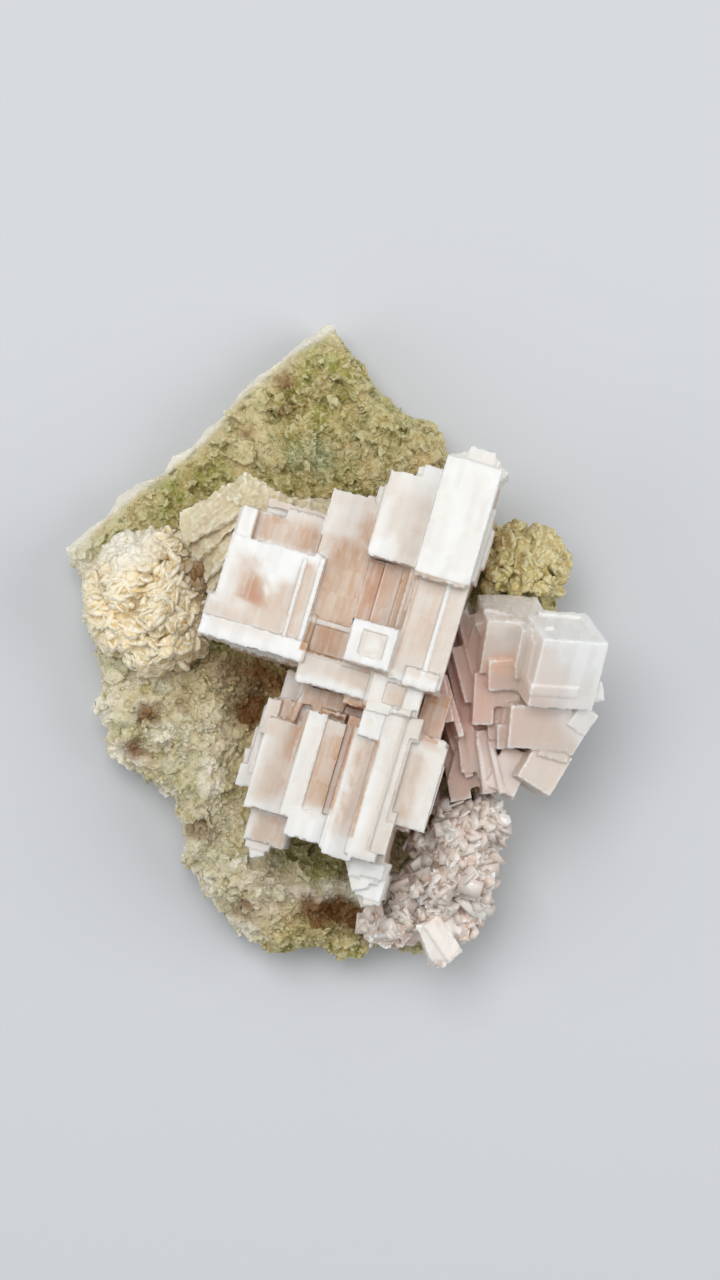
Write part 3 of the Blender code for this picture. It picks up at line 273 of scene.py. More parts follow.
# Patches of colour on the right-hand group: x, y, reach, then shares of rose, salmon and frost
RIGHT_PATCHES = (
    (32, -1, 7.4, 0, 0, 1), (29.4, -4.4, 2.8, 0.1, 0.25, 0.5), (30.5, 4.6, 4, 0, 0, 0.8),
    (24.4, 2.2, 4, 0, 0.3, 0.5), (22, 6, 3.4, 0, 0.15, 0.7), (27.2, -1.6, 1.8, 0, 0.35, 0.4),
    (23.8, -2.9, 1.8, 0, 0.95, 0.2), (21, -7, 2.8, 0.55, 0.35, 0.15), (17.6, -8, 4, 0.9, 0.15, 0),
    (17.6, -15, 5, 0.6, 0.1, 0.1), (27.6, -10.6, 4, 0.3, 0.05, 0.15), (34.8, -9, 3, 0, 0, 0.7),
    (29.4, -17, 4.6, 0, 0, 0.12), (22.4, -17, 2.2, 0.2, 0, 0.25), (18, 1.4, 3.4, 0.55, 0.2, 0.1),
    (25, -6.4, 2, 0.3, 0.3, 0.2),
)
# The one long crystal at the foot of the druse: centre, size, turns
PRISM = ((15.2, -41.4, 14.8), (2.8, 6.6, 3), (12, 20, 38))
# Colours of the right-hand group's clean crystal and its hollows, and of the druse; the deep colours also
# paint the shade in recesses
RIGHT_CLEAN = (0.66, 0.55, 0.46)
RIGHT_DEEP = (0.80, 0.46, 0.28)
DRUSE_COLOURS = ((0.82, 0.75, 0.65), (0.74, 0.56, 0.46), (0.56, 0.36, 0.27))

# The photograph's height in pixels and its scale, and the height of the camera's sensor
PICTURE_HEIGHT = 1280
PIXELS_PER_MM = 7.2
SENSOR_HEIGHT = 36.0


def along(values):
    """Millimetres to metres."""
    return Vector(values) * MM


def placed(centre, turns):
    """A frame at a centre in millimetres, turned about X, Y and Z by degrees."""
    angles = Euler([math.radians(angle) for angle in turns], "XYZ")
    return Matrix.Translation(along(centre)) @ angles.to_matrix().to_4x4()


def crystal_axes():
    """The main halite's cubic axes, as a matrix in metres."""
    lean = placed((0, 0, 0), (*CRYSTAL_LEAN, 0))
    front = Matrix.Translation(along((0, 0, CRYSTAL_FRONT)))
    return placed((*CRYSTAL_ORIGIN, 0), (0, 0, CRYSTAL_TURN)) @ front @ lean @ front.inverted()


def points_of(mesh):
    """A mesh's points in millimetres."""
    points = np.empty(len(mesh.vertices) * 3, np.float32)
    mesh.vertices.foreach_get("co", points)
    return points.reshape(-1, 3).astype(float) / MM


def normals_of(mesh):
    normals = np.empty(len(mesh.vertices) * 3, np.float32)
    mesh.vertex_normals.foreach_get("vector", normals)
    return normals.reshape(-1, 3).astype(float)


def edges_of(mesh):
    ends = np.empty(len(mesh.edges) * 2, np.int32)
    mesh.edges.foreach_get("vertices", ends)
    return ends.reshape(-1, 2)


def move_points(mesh, points):
    mesh.vertices.foreach_set("co", (points * MM).astype(np.float32).ravel())
    mesh.update()


def set_values(mesh, name, values):
    attribute = mesh.attributes.new(name, "FLOAT", "POINT")
    attribute.data.foreach_set("value", np.asarray(values, np.float32))


def link_piece(name, mesh, material, replaced=None):
    """The finished piece: it rides on the one body and may stand for CAD nodes."""
    mesh.name = name
    mesh.materials.clear()
    mesh.materials.append(material)
    piece = bpy.data.objects.new(name, mesh)
    bpy.context.scene.collection.objects.link(piece)
    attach(piece, "root")
    if replaced:
        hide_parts(replaced)
    return piece


def merged_copy(node):
    """A bmesh of a CAD node's solid, its loose triangles sewn together."""
    bm = bmesh.new()
    bm.from_mesh(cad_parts[node].data)
    bmesh.ops.remove_doubles(bm, verts=bm.verts[:], dist=0.002 * MM)
    return bm


def add_turned(bm, frame_of_block, size):
    """A box of a size in millimetres about the middle of a frame."""
    place = frame_of_block @ Matrix.Diagonal((*along(size), 1.0))
    bmesh.ops.create_cube(bm, size=1.0, matrix=place)


def add_block(bm, limits, axes):
    """A box given by left, right, foot, head, back and front along the axes."""
    left, right, foot, head, back, front = limits
    middle = along(((left + right) / 2, (foot + head) / 2, (back + front) / 2))
    size = along((right - left, head - foot, front - back))
    place = axes @ Matrix.Translation(middle) @ Matrix.Diagonal((*size, 1.0))
    bmesh.ops.create_cube(bm, size=1.0, matrix=place)


def grown_together(bm, voxel):
    """One closed skin over everything in the bmesh, in even small faces."""
    mesh = bpy.data.meshes.new("skin")
    bm.to_mesh(mesh)
    bm.free()
    helper = bpy.data.objects.new("skin", mesh)
    bpy.context.scene.collection.objects.link(helper)
    remesh = helper.modifiers.new("skin", "REMESH")
    remesh.mode = "VOXEL"
    remesh.voxel_size = voxel * MM
    graph = bpy.context.evaluated_depsgraph_get()
    graph.update()
    skin = bpy.data.meshes.new_from_object(helper.evaluated_get(graph))
    bpy.data.objects.remove(helper)
    bpy.data.meshes.remove(mesh)
    return skin


def lightened(mesh, most):
    """The mesh with its flat stretches in fewer, larger faces, so that it stays under a limit."""
    triangles = sum(len(face.vertices) - 2 for face in mesh.polygons)
    if triangles <= most:
        return mesh
    helper = bpy.data.objects.new("lightened", mesh)
    bpy.context.scene.collection.objects.link(helper)
    fewer = helper.modifiers.new("fewer", "DECIMATE")
    fewer.ratio = most / triangles
    graph = bpy.context.evaluated_depsgraph_get()
    graph.update()
    lighter = bpy.data.meshes.new_from_object(helper.evaluated_get(graph))
    bpy.data.objects.remove(helper)
    bpy.data.meshes.remove(mesh)
    return lighter


def evened(values, ends, rounds):
    """Values of the points, each round replaced by the mean over its neighbours."""
    count = np.bincount(ends.ravel(), minlength=len(values)) + 1.0
    for _ in range(rounds):
        total = values.copy()
        for axis in range(values.shape[1]):
            total[:, axis] += np.bincount(ends[:, 0], values[ends[:, 1], axis], len(values))
            total[:, axis] += np.bincount(ends[:, 1], values[ends[:, 0], axis], len(values))
        values = total / count[:, None]
    return values


def swelling(mesh, rounds):
    """How far each point stands out from its surroundings, in millimetres along its normal."""
    points = points_of(mesh)
    smooth = evened(points, edges_of(mesh), rounds)
    return ((points - smooth) * normals_of(mesh)).sum(axis=1)


def cell_steps(cells, seed):
    """An even random number from 0 to 1 for each row of whole numbers."""
    mixed = np.full(len(cells), seed * 7919 + 12345, np.uint64)
    for axis in range(cells.shape[1]):
        whole = (cells[:, axis].astype(np.int64) + 100000).astype(np.uint64)
        mixed ^= whole * np.uint64(2654435761 + 97 * axis)
        mixed = mixed * np.uint64(6364136223846793005) + np.uint64(1442695040888963407)
        mixed ^= mixed >> np.uint64(29)
    return (mixed & np.uint64(0xFFFFFF)).astype(float) / 0xFFFFFF


def rough(points, size, phase):
    """Smooth noise from about -1 to 1 at each point."""
    return np.array([noise.noise(Vector(point) / size + Vector((phase, 0.0, 0.0))) for point in points])


def facets(points, size, phase):
    """Heights that turn a surface into small tilted crystal faces."""
    heights = np.empty(len(points))
    for index, point in enumerate(points):
        spot = Vector(point) / size + Vector((phase, 0.0, 0.0))
        seeds = noise.voronoi(spot)[1]
        tilt = noise.cell_vector(seeds[0] * 7.3)
        heights[index] = (spot - seeds[0]).dot(tilt - Vector((0.5, 0.5, 0.5))) + 0.5 * tilt.x
    return heights * size


def surface_spots(mesh, count, rng):
    """Random points spread evenly over a mesh, and its normals there."""
    mesh.calc_loop_triangles()
    corners = np.empty(len(mesh.loop_triangles) * 3, np.int32)
    mesh.loop_triangles.foreach_get("vertices", corners)
    triangles = points_of(mesh)[corners.reshape(-1, 3)]
    across = np.cross(triangles[:, 1] - triangles[:, 0], triangles[:, 2] - triangles[:, 0])
    area = np.linalg.norm(across, axis=1)
    chosen = rng.choice(len(area), count, p=area / area.sum())
    a = np.sqrt(rng.random(count))
    b = rng.random(count)
    corner = triangles[chosen]
    spots = (1 - a)[:, None] * corner[:, 0] + (a * (1 - b))[:, None] * corner[:, 1]
    spots += (a * b)[:, None] * corner[:, 2]
    return spots, across[chosen] / np.maximum(area[chosen], 1e-9)[:, None]


def unit(vectors):
    return vectors / np.maximum(np.linalg.norm(vectors, axis=1), 1e-9)[:, None]


def standing(directions, spins):
    """Rotation arrays whose Z runs along each direction, spun about it."""
    z = unit(directions)
    other = np.where(np.abs(z[:, 2:]) < 0.9, [[0.0, 0.0, 1.0]], [[1.0, 0.0, 0.0]])
    x = unit(np.cross(other, z))
    y = np.cross(z, x)
    turned_x = x * np.cos(spins)[:, None] + y * np.sin(spins)[:, None]
    turned_y = np.cross(z, turned_x)
    return np.stack([turned_x, turned_y, z], axis=2)


def flake_shape():
    """A six-sided flake, one unit across and thick, that faces along Z: its rim is its tip."""
    bm = bmesh.new()
    bmesh.ops.create_cone(bm, cap_ends=True, segments=6, radius1=0.5, radius2=0.5, depth=0.6)
    caps = [face for face in bm.faces if len(face.verts) == 6]
    raised = bmesh.ops.poke(bm, faces=caps)["verts"]
    bmesh.ops.scale(bm, vec=(1.0, 1.0, 1.6), verts=raised)
    return taken_apart(bm, lambda point: 1.0 if math.hypot(point.x, point.y) > 0.2 else 0.0)


def petal_shape():
    """A rounded plate, one unit across and thick, that faces along Z: its rim is its tip."""
    bm = bmesh.new()
    bmesh.ops.create_cone(bm, cap_ends=True, segments=8, radius1=0.5, radius2=0.5, depth=0.4)
    caps = [face for face in bm.faces if len(face.verts) == 8]
    bmesh.ops.inset_individual(bm, faces=caps, thickness=0.15, depth=0.3)
    return taken_apart(bm, lambda point: min(1.0, max(0.0, (math.hypot(point.x, point.y) - 0.34) / 0.14)))


def grain_shape():
    """A rounded grain, one unit across."""
    bm = bmesh.new()
    bmesh.ops.create_icosphere(bm, subdivisions=1, radius=0.5)
    return taken_apart(bm, lambda point: 0.5 + point.z)


def block_shape():
    """A small cubic crystal, one unit on a side, that stands on its foot."""
    bm = bmesh.new()
    bmesh.ops.create_cube(bm, size=1.0)
    bmesh.ops.translate(bm, vec=(0.0, 0.0, 0.5), verts=bm.verts[:])
    return taken_apart(bm, lambda point: point.z)


def taken_apart(bm, tip):
    bmesh.ops.triangulate(bm, faces=bm.faces[:])
    points = np.array([vertex.co[:] for vertex in bm.verts])
    triangles = np.array([[vertex.index for vertex in face.verts] for face in bm.faces])
    tips = np.array([tip(vertex.co) for vertex in bm.verts])
    bm.free()
    return points, triangles, tips


def joined_copies(shape, places, turns, sizes, values):
    """One mesh of many copies of a small shape, with each copy's values on its points."""
    points, triangles, tips = shape
    count = len(places)
    spread = np.einsum("nij,nkj->nki", turns, points[None] * sizes[:, None]) + places[:, None]
    corners = (triangles[None] + (np.arange(count) * len(points))[:, None, None]).reshape(-1)
    mesh = bpy.data.meshes.new("copies")
    mesh.vertices.add(count * len(points))
    mesh.vertices.foreach_set("co", (spread * MM).astype(np.float32).ravel())
    mesh.loops.add(len(corners))
    mesh.loops.foreach_set("vertex_index", corners.astype(np.int32))
    mesh.polygons.add(len(corners) // 3)
    mesh.polygons.foreach_set("loop_start", np.arange(0, len(corners), 3, dtype=np.int32))
    mesh.update(calc_edges=True)
    set_values(mesh, "tip", np.tile(tips, count))
    for name, per_copy in values.items():
        set_values(mesh, name, np.repeat(per_copy, len(points)))
    return mesh


def pale_band(points):
    """The pale smooth band inside the upper left rim of the plate."""
    away = off_the_rim(points) + 0.8 * rough(points, 2.0, 31.0)
    return np.clip(1.7 - away / 2.8, 0.0, 0.85)


def stains_and_shade_at(points):
    """How strongly each colour shows at each point of the trona, from 0 to 1."""
    wander_x = STAIN_AND_SHADE_WANDER * rough(points, 2.6, 11.0)
    wander_y = STAIN_AND_SHADE_WANDER * rough(points, 2.6, 37.0)
    found = {kind: np.zeros(len(points)) for kind in STAIN_AND_SHADE_KINDS}
    for kind, x, y, reach, across, turn, strength in STAINS_AND_SHADE:
        angle = math.radians(turn)
        dx = points[:, 0] + wander_x - x
        dy = points[:, 1] + wander_y - y
        u = (dx * math.cos(angle) + dy * math.sin(angle)) / reach
        v = (dy * math.cos(angle) - dx * math.sin(angle)) / across
        found[kind] = np.maximum(found[kind], np.minimum(strength * np.exp(-(u * u + v * v) ** 1.5), 1.0))
    found["cream"] = np.maximum(found["cream"], pale_band(points))
    return found


def off_the_rim(points):
    """How far each point is from the pale rim, seen from above."""
    nearest = np.full(len(points), 99.0)
    for start, end in zip(PALE_RIM[:-1], PALE_RIM[1:]):
        a = np.array(start)
        run = np.array(end) - a
        share = np.clip(((points[:, :2] - a) @ run) / (run @ run), 0.0, 1.0)
        away = np.linalg.norm(points[:, :2] - a - share[:, None] * run, axis=1)
        nearest = np.minimum(nearest, away)
    return nearest


def kept_inside(points, margin=0.02):
    """The points, none of them outside the CAD box."""
    low = np.array(cad_box[0]) / MM + margin
    high = np.array(cad_box[1]) / MM - margin
    return np.clip(points, low, high)


def hold_inside(mesh):
    """Moves the points that are outside the CAD box onto its sides."""
    move_points(mesh, kept_inside(points_of(mesh)))


def tufts(points, size):
    """Smooth random directions, alike for points near each other."""
    return np.stack([rough(points, size, 50.0), rough(points, size, 70.0), rough(points, size, 90.0)], axis=1)


def add_node(tree, kind, place, **values):
    node = tree.nodes.new(kind)
    node.location = place
    for name, value in values.items():
        if name in node.inputs:
            node.inputs[name].default_value = value
        else:
            setattr(node, name, value)
    return node


def new_material(name, roughness):
    material = bpy.data.materials.new(name)
    material.use_nodes = True
    shader = material.node_tree.nodes["Principled BSDF"]
    shader.inputs["Roughness"].default_value = roughness
    return material, material.node_tree, shader


def reading(tree, name, place):
    """The socket that gives an attribute of the mesh."""
    return add_node(tree, "ShaderNodeAttribute", place, attribute_name=name).outputs["Fac"]


def blended(tree, factor, first, second, place):
    """A colour between two others, each a colour or a socket."""
    mix = add_node(tree, "ShaderNodeMix", place, data_type="RGBA")
    tree.links.new(factor, mix.inputs["Factor"])
    for socket, value in ((mix.inputs[6], first), (mix.inputs[7], second)):
        if isinstance(value, bpy.types.NodeSocket):
            tree.links.new(value, socket)
        else:
            socket.default_value = (*value, 1.0)
    return mix.outputs[2]


def ranged(tree, value, low, high, place, least=0.0, most=1.0):
    node = add_node(tree, "ShaderNodeMapRange", place)
    node.inputs["From Min"].default_value = low
    node.inputs["From Max"].default_value = high
    node.inputs["To Min"].default_value = least
    node.inputs["To Max"].default_value = most
    tree.links.new(value, node.inputs["Value"])
    return node.outputs["Result"]


def grain(tree, scale, detail, place, stretch=(1.0, 1.0, 1.0), turn=0.0):
    """Noise in millimetres of the piece's own coordinates, stretched along its axes."""
    where = add_node(tree, "ShaderNodeTexCoord", (place[0] - 400, place[1]))
    turned = add_node(tree, "ShaderNodeMapping", (place[0] - 200, place[1]), vector_type="TEXTURE")
    turned.inputs["Rotation"].default_value = (0.0, 0.0, math.radians(turn))
    turned.inputs["Scale"].default_value = [MM / value for value in stretch]
    pattern = add_node(tree, "ShaderNodeTexNoise", place, Scale=scale, Detail=detail)
    tree.links.new(where.outputs["Object"], turned.inputs["Vector"])
    tree.links.new(turned.outputs["Vector"], pattern.inputs["Vector"])
    return pattern.outputs["Fac"]


def add_bump(tree, shader, heights, strength, distance):
    """Chained bumps, the coarse one first."""
    last = None
    for index, height in enumerate(heights):
        bump = add_node(tree, "ShaderNodeBump", (100, -300 - 200 * index), Strength=strength[index])
        bump.inputs["Distance"].default_value = distance[index] * MM
        tree.links.new(height, bump.inputs["Height"])
        if last:
            tree.links.new(last, bump.inputs["Normal"])
        last = bump.outputs["Normal"]
    tree.links.new(last, shader.inputs["Normal"])


def bars(tree, width, length, phase, place):
    """An even random number for each slightly bent bar of a grid on the main halite's axes."""
    where = add_node(tree, "ShaderNodeTexCoord", (place[0] - 1000, place[1]))
    turned = add_node(tree, "ShaderNodeMapping", (place[0] - 800, place[1]), vector_type="TEXTURE")
    turned.inputs["Rotation"].default_value = (0.0, 0.0, math.radians(CRYSTAL_TURN))
    turned.inputs["Scale"].default_value = (MM, MM, MM)
    bend = add_node(tree, "ShaderNodeTexNoise", (place[0] - 600, place[1] - 200), Scale=0.8, Detail=4.0)
    moved = add_node(tree, "ShaderNodeVectorMath", (place[0] - 400, place[1]), operation="MULTIPLY_ADD")
    moved.inputs[1].default_value = (0.6, 2.4, 0.0)
    shifted = add_node(tree, "ShaderNodeVectorMath", (place[0] - 300, place[1]), operation="ADD")
    shifted.inputs[1].default_value = (phase, phase, phase)
    cell = add_node(tree, "ShaderNodeVectorMath", (place[0] - 200, place[1]), operation="SNAP")
    cell.inputs[1].default_value = (width, length, 500.0)
    number = add_node(tree, "ShaderNodeTexWhiteNoise", place, noise_dimensions="3D")
    tree.links.new(where.outputs["Object"], turned.inputs["Vector"])
    tree.links.new(turned.outputs["Vector"], bend.inputs["Vector"])
    tree.links.new(bend.outputs["Color"], moved.inputs[0])
    tree.links.new(turned.outputs["Vector"], moved.inputs[2])
    tree.links.new(moved.outputs["Vector"], shifted.inputs[0])
    tree.links.new(shifted.outputs["Vector"], cell.inputs[0])
    tree.links.new(cell.outputs["Vector"], number.inputs["Vector"])
    return number.outputs["Value"]


def halite_material(name, settings, clean, warm_colour, deep_colour):
    """Frosted halite: white edges, partly frost and partly painted highlight, cream panes, salmon hollows
    with painted shade, light passing through it.
    """
    material, tree, shader = new_material(name, settings.roughness)
    # Edges and creases take the frost colour, partly frost and partly painted highlight; the deep colour
    # stands for the salmon zones and for painted shade in recesses.
    edge = ranged(tree, reading(tree, "edge", (-1400, 300)), 0.03, 0.16, (-1200, 300), 0.0, 0.75)
    deep_tone_and_shade = reading(tree, "deep_tone_and_shade", (-1400, 100))
    warm = reading(tree, "warm", (-1400, -100))
    streaks = grain(tree, 1.6, 4.0, (-1200, -300), (1.0, 0.16, 0.5), CRYSTAL_TURN)
    clouds = grain(tree, 0.35, 2.0, (-1200, -600))
    body = blended(tree, warm, clean, warm_colour, (-900, 300))
    deep = blended(tree, deep_tone_and_shade, body, deep_colour, (-700, 300))
    lines = ranged(tree, streaks, 0.5, 0.68, (-1000, -300), 0.0, 0.28)
    streaked = blended(tree, lines, deep, clean, (-500, 300))
    veil = ranged(tree, clouds, 0.45, 0.7, (-1000, -600), 0.0, 0.2)
    veiled = blended(tree, veil, streaked, clean, (-400, 100))
    wide = ranged(tree, bars(tree, 2.3, 3.6, 3.0, (-1200, -1200)), 0.6, 0.64, (-1000, -1200), 0.0, 0.22)
    paler = blended(tree, wide, veiled, clean, (-380, 0))
    narrow = ranged(tree, bars(tree, 0.5, 5.0, 7.0, (-1200, -1500)), 0.7, 0.74, (-1000, -1500), 0.0, 0.6)
    barred = blended(tree, narrow, paler, deep, (-360, -100))
    snowy = blended(tree, reading(tree, "frost", (-1400, -900)), barred, settings.frost, (-350, 500))
    faint = ranged(tree, bars(tree, 0.9, 4.4, 5.0, (-1200, -1800)), 0.66, 0.72, (-1000, -1800), 0.0, 0.12)
    greyed = blended(tree, faint, snowy, (0.52, 0.50, 0.47), (-330, 400))
    frosted_and_highlit = blended(tree, edge, greyed, settings.frost, (-300, 300))
    tree.links.new(frosted_and_highlit, shader.inputs["Base Color"])
    shader.inputs["IOR"].default_value = 1.544
    shader.inputs["Transmission Weight"].default_value = settings.clearness
    shader.inputs["Subsurface Weight"].default_value = settings.glow
    shader.inputs["Subsurface Radius"].default_value = (1.0, 0.95, 0.9)
    shader.inputs["Subsurface Scale"].default_value = settings.glow_depth
    fine = grain(tree, 3.2, 3.0, (-300, -500))
    add_bump(tree, shader, (streaks, fine), (0.25, 0.2), (0.12, 0.06))
    return material


def cells(tree, scale, feature, place, socket):
    """Crystal cells in millimetres of the piece's own coordinates, a little bent."""
    where = add_node(tree, "ShaderNodeTexCoord", (place[0] - 800, place[1]))
    sized = add_node(tree, "ShaderNodeMapping", (place[0] - 600, place[1]))
    sized.inputs["Scale"].default_value = (1 / MM, 1 / MM, 1 / MM)
    bend = add_node(tree, "ShaderNodeTexNoise", (place[0] - 400, place[1] - 200), Scale=0.9, Detail=3.0)
    moved = add_node(tree, "ShaderNodeVectorMath", (place[0] - 200, place[1]), operation="MULTIPLY_ADD")
    pattern = add_node(tree, "ShaderNodeTexVoronoi", place, feature=feature, Scale=scale)
    tree.links.new(where.outputs["Object"], sized.inputs["Vector"])
    tree.links.new(sized.outputs["Vector"], bend.inputs["Vector"])
    moved.inputs[1].default_value = (1.6, 1.6, 1.6)
    tree.links.new(bend.outputs["Color"], moved.inputs[0])
    tree.links.new(sized.outputs["Vector"], moved.inputs[2])
    tree.links.new(moved.outputs["Vector"], pattern.inputs["Vector"])
    return pattern.outputs[socket]


def trona_material(name, body, tip_colour, settings, glow=0.0, cell=1.1, seams=0.55):
    """Trona: its own colour, stained by attributes that also carry painted shade, pale at the tips, the
    cells' edges and specks that are partly painted glints.
    """
    material, tree, shader = new_material(name, settings.roughness)
    colour = body
    for index, kind in enumerate(("cream", "green", "teal", "rose")):
        share = reading(tree, kind, (-1600, 400 - 150 * index))
        colour = blended(tree, share, colour, getattr(settings, kind), (-1300 + 150 * index, 300))
    tint = ranged(tree, reading(tree, "tint", (-1200, -200)), 0.0, 1.0, (-1000, -200), 0.0, 0.8)
    colour = blended(tree, tint, colour, settings.tan, (-600, 300))
    between = cells(tree, cell, "DISTANCE_TO_EDGE", (-1200, -1000), "Distance")
    seam = ranged(tree, between, 0.0, 0.14, (-1000, -1000), seams, 0.0)
    colour = blended(tree, seam, colour, tip_colour, (-500, 100))
    marks = 1.0 if seams else 0.0
    coarse = grain(tree, 0.55, 5.0, (-1200, -1300))
    pits = ranged(tree, coarse, 0.46, 0.34, (-900, -1300), 0.0, 0.75 * marks)
    colour = blended(tree, pits, colour, tuple(0.45 * channel for channel in body), (-450, 0))
    # Pale specks at random: partly pale grains, partly painted glints.
    sugar_and_glint = grain(tree, 1.3, 5.0, (-1200, -1500))
    specks_and_glints = ranged(tree, sugar_and_glint, 0.57, 0.66, (-900, -1500), 0.0, 0.8 * marks)
    colour = blended(tree, specks_and_glints, colour, tip_colour, (-420, -100))
    if not seams:
        streaks = grain(tree, 1.8, 4.0, (-1200, -1700), (0.1, 1.0, 0.6), LATH_TURN)
        light = ranged(tree, streaks, 0.5, 0.62, (-900, -1700), 0.0, 0.35)
        colour = blended(tree, light, colour, tip_colour, (-400, -200))
        dark = ranged(tree, streaks, 0.42, 0.34, (-900, -1900), 0.0, 0.45)
        colour = blended(tree, dark, colour, settings.rose, (-380, -300))
    tip = ranged(tree, reading(tree, "tip", (-1200, -400)), 0.45, 1.0, (-1000, -400), 0.0, 0.75)
    colour = blended(tree, tip, colour, tip_colour, (-400, 300))
    white = reading(tree, "white", (-1200, -600))
    colour = blended(tree, white, colour, settings.white, (-250, 300))
    brown = reading(tree, "brown", (-1200, -800))
    colour = blended(tree, brown, colour, settings.brown, (-100, 300))
    tree.links.new(colour, shader.inputs["Base Color"])
    shader.inputs["IOR"].default_value = 1.5
    shader.inputs["Subsurface Weight"].default_value = glow
    shader.inputs["Subsurface Radius"].default_value = (1.0, 0.95, 0.85)
    shader.inputs["Subsurface Scale"].default_value = 0.3 * MM
    rounded = ranged(tree, between, 0.0, 0.3, (-800, -1000))
    fine = grain(tree, 1.6, 4.0, (-300, -400))
    add_bump(tree, shader, (rounded, fine), (seams, 0.4 if seams else 0.1), (0.2, 0.14))
    return material


def colour_setting(name, description, default):
    return FloatVectorProperty(name=name, description=description, default=default,
                               subtype="COLOR", size=3, min=0.0, max=1.0)


def factor_setting(name, description, default):
    return FloatProperty(name=name, description=description, default=default,
                         subtype="FACTOR", min=0.0, max=1.0)


def distance_setting(name, description, default, least=0.0):
    """A length whose default and least value are given in millimetres."""
    return FloatProperty(name=name, description=description, default=default * MM,
                         subtype="DISTANCE", unit="LENGTH", min=least * MM)


def power_setting(name, description, default):
    return FloatProperty(name=name, description=description, default=default,
                         subtype="POWER", unit="POWER", min=0.0)


class HaliteSettings(bpy.types.PropertyGroup):
    """Sizes and colours of the frosted halite"""

    white: colour_setting("White", "Colour of the clean crystal", (0.80, 0.77, 0.71))
    # Frost is also the colour of a painted highlight along the crystals' edges and creases, and salmon that
    # of painted shade in recesses and low on the main halite's sides.
    frost: colour_setting("Frost", "Colour of the worn edges", (0.90, 0.90, 0.88))
    peach: colour_setting("Peach", "Colour of the warm crystal", (0.54, 0.29, 0.115))
    salmon: colour_setting("Salmon", "Colour deep in the hollows", (0.52, 0.23, 0.09))
    mauve: colour_setting("Mauve", "Colour of the warm crystal on the right", (0.68, 0.38, 0.33))
    roughness: factor_setting("Roughness", "Roughness of the crystal faces", 0.32)
    clearness: factor_setting("Clearness", "Share of the light that passes through", 0.12)
    glow: factor_setting("Glow", "Share of the light that scatters inside", 0.8)
    glow_depth: distance_setting("Glow depth", "How far light scatters inside", 1.5)
    skin: distance_setting("Face size", "Size of the faces of the crystal's skin", 0.2, 0.1)
    ragged: distance_setting("Raggedness", "Size of the small steps on the crystals' ends", 0.22)
    crumbs: distance_setting("Crumbs", "Size of the crumbs along the edges", 0.12)


class TronaSettings(bpy.types.PropertyGroup):
    """Sizes and colours of the trona"""

    olive: colour_setting("Olive", "Colour of the plate", (0.30, 0.265, 0.04))
    tan: colour_setting("Tan", "Colour of the browner blades", (0.60, 0.44, 0.20))
    pale: colour_setting("Pale", "Colour of the blade tips", (0.65, 0.60, 0.34))
    cream: colour_setting("Cream", "Colour of the pale crust", (0.80, 0.71, 0.46))
    white: colour_setting("White", "Colour of the sugary rim", (0.92, 0.86, 0.72))
    green: colour_setting("Green", "Colour of the green patches", (0.30, 0.34, 0.04))
    teal: colour_setting("Grey green", "Colour of the cooler patch", (0.19, 0.24, 0.12))
    # Rose also paints shade in the cream slabs' recesses and beside the main halite's left bar, and brown
    # partly a painted shadow below that bar.
    rose: colour_setting("Rose", "Colour of the pink grey crust", (0.56, 0.42, 0.33))
    brown: colour_setting("Brown", "Colour in the pits", (0.25, 0.12, 0.035))
    honey: colour_setting("Honey", "Colour of the left rosette", (0.97, 0.77, 0.44))
    gold: colour_setting("Gold", "Colour of the right rosette", (0.58, 0.46, 0.15))
    roughness: factor_setting("Roughness", "Roughness of the trona", 0.42)
    flakes: IntProperty(name="Flakes", description="Most flakes on the upper plate",
                        min=0, default=900)
    flake: distance_setting("Flake length", "Length of a usual flake", 1.5)
    lie: FloatProperty(name="Lie", description="How much the flakes lie flat on the plate",
                       min=0.0, max=2.0, default=1.1)
    skin: distance_setting("Face size", "Size of the faces of the plate's skin", 0.36, 0.1)


class StageSettings(bpy.types.PropertyGroup):
    """The floor, the lights and the camera"""

    floor: colour_setting("Floor", "Colour of the floor", (0.62, 0.63, 0.65))
    height: distance_setting("Camera height", "Height of the camera above the specimen's middle", 500, 100)
    key: power_setting("Key light", "Power of the large soft light", 2.08)
    fill: power_setting("Fill light", "Power of the lights from the sides", 0.75)


def zone_boxes():
    """Blocks that fill each zone of the main halite up to its level, in strips across the zones."""
    levelled = [zone for zone in ZONES if zone[4]]
    across = sorted({side for zone in levelled for side in zone[:2]})
    boxes = []
    for left, right in zip(across[:-1], across[1:]):
        middle = (left + right) / 2
        column = [zone for zone in levelled if zone[0] < middle < zone[1]]
        ends = sorted({side for zone in column for side in zone[2:4]})
        for foot, head in zip(ends[:-1], ends[1:]):
            covering = [zone[4] for zone in column if zone[2] < (foot + head) / 2 < zone[3]]
            if not covering:
                continue
            level = covering[-1]
            if boxes and boxes[-1][0] == left and boxes[-1][3] == foot and boxes[-1][5] == level:
                boxes[-1] = (*boxes[-1][:3], head, *boxes[-1][4:])
            else:
                boxes.append((left, right, foot, head, level - ZONE_DEPTH, level))
    return boxes


def snapped(mesh, boxes, reach):
    """Moves points close to a side of a box onto it, for flat sides and crisp edges."""
    points = points_of(mesh)
    normals = np.abs(normals_of(mesh))
    moved = points.copy()
    best = np.full(points.shape, reach)
    for left, right, foot, head, back, front in boxes:
        low = np.array((left, foot, back))
        high = np.array((right, head, front))
        near = np.flatnonzero(((points > low - reach) & (points < high + reach)).all(axis=1))
        for axis in range(3):
            for plane in (low[axis], high[axis]):
                away = np.abs(points[near, axis] - plane)
                closer = near[(away < best[near, axis]) & (normals[near, axis] > 0.35)]
                moved[closer, axis] = plane
                best[closer, axis] = np.abs(points[closer, axis] - plane)
    move_points(mesh, moved)


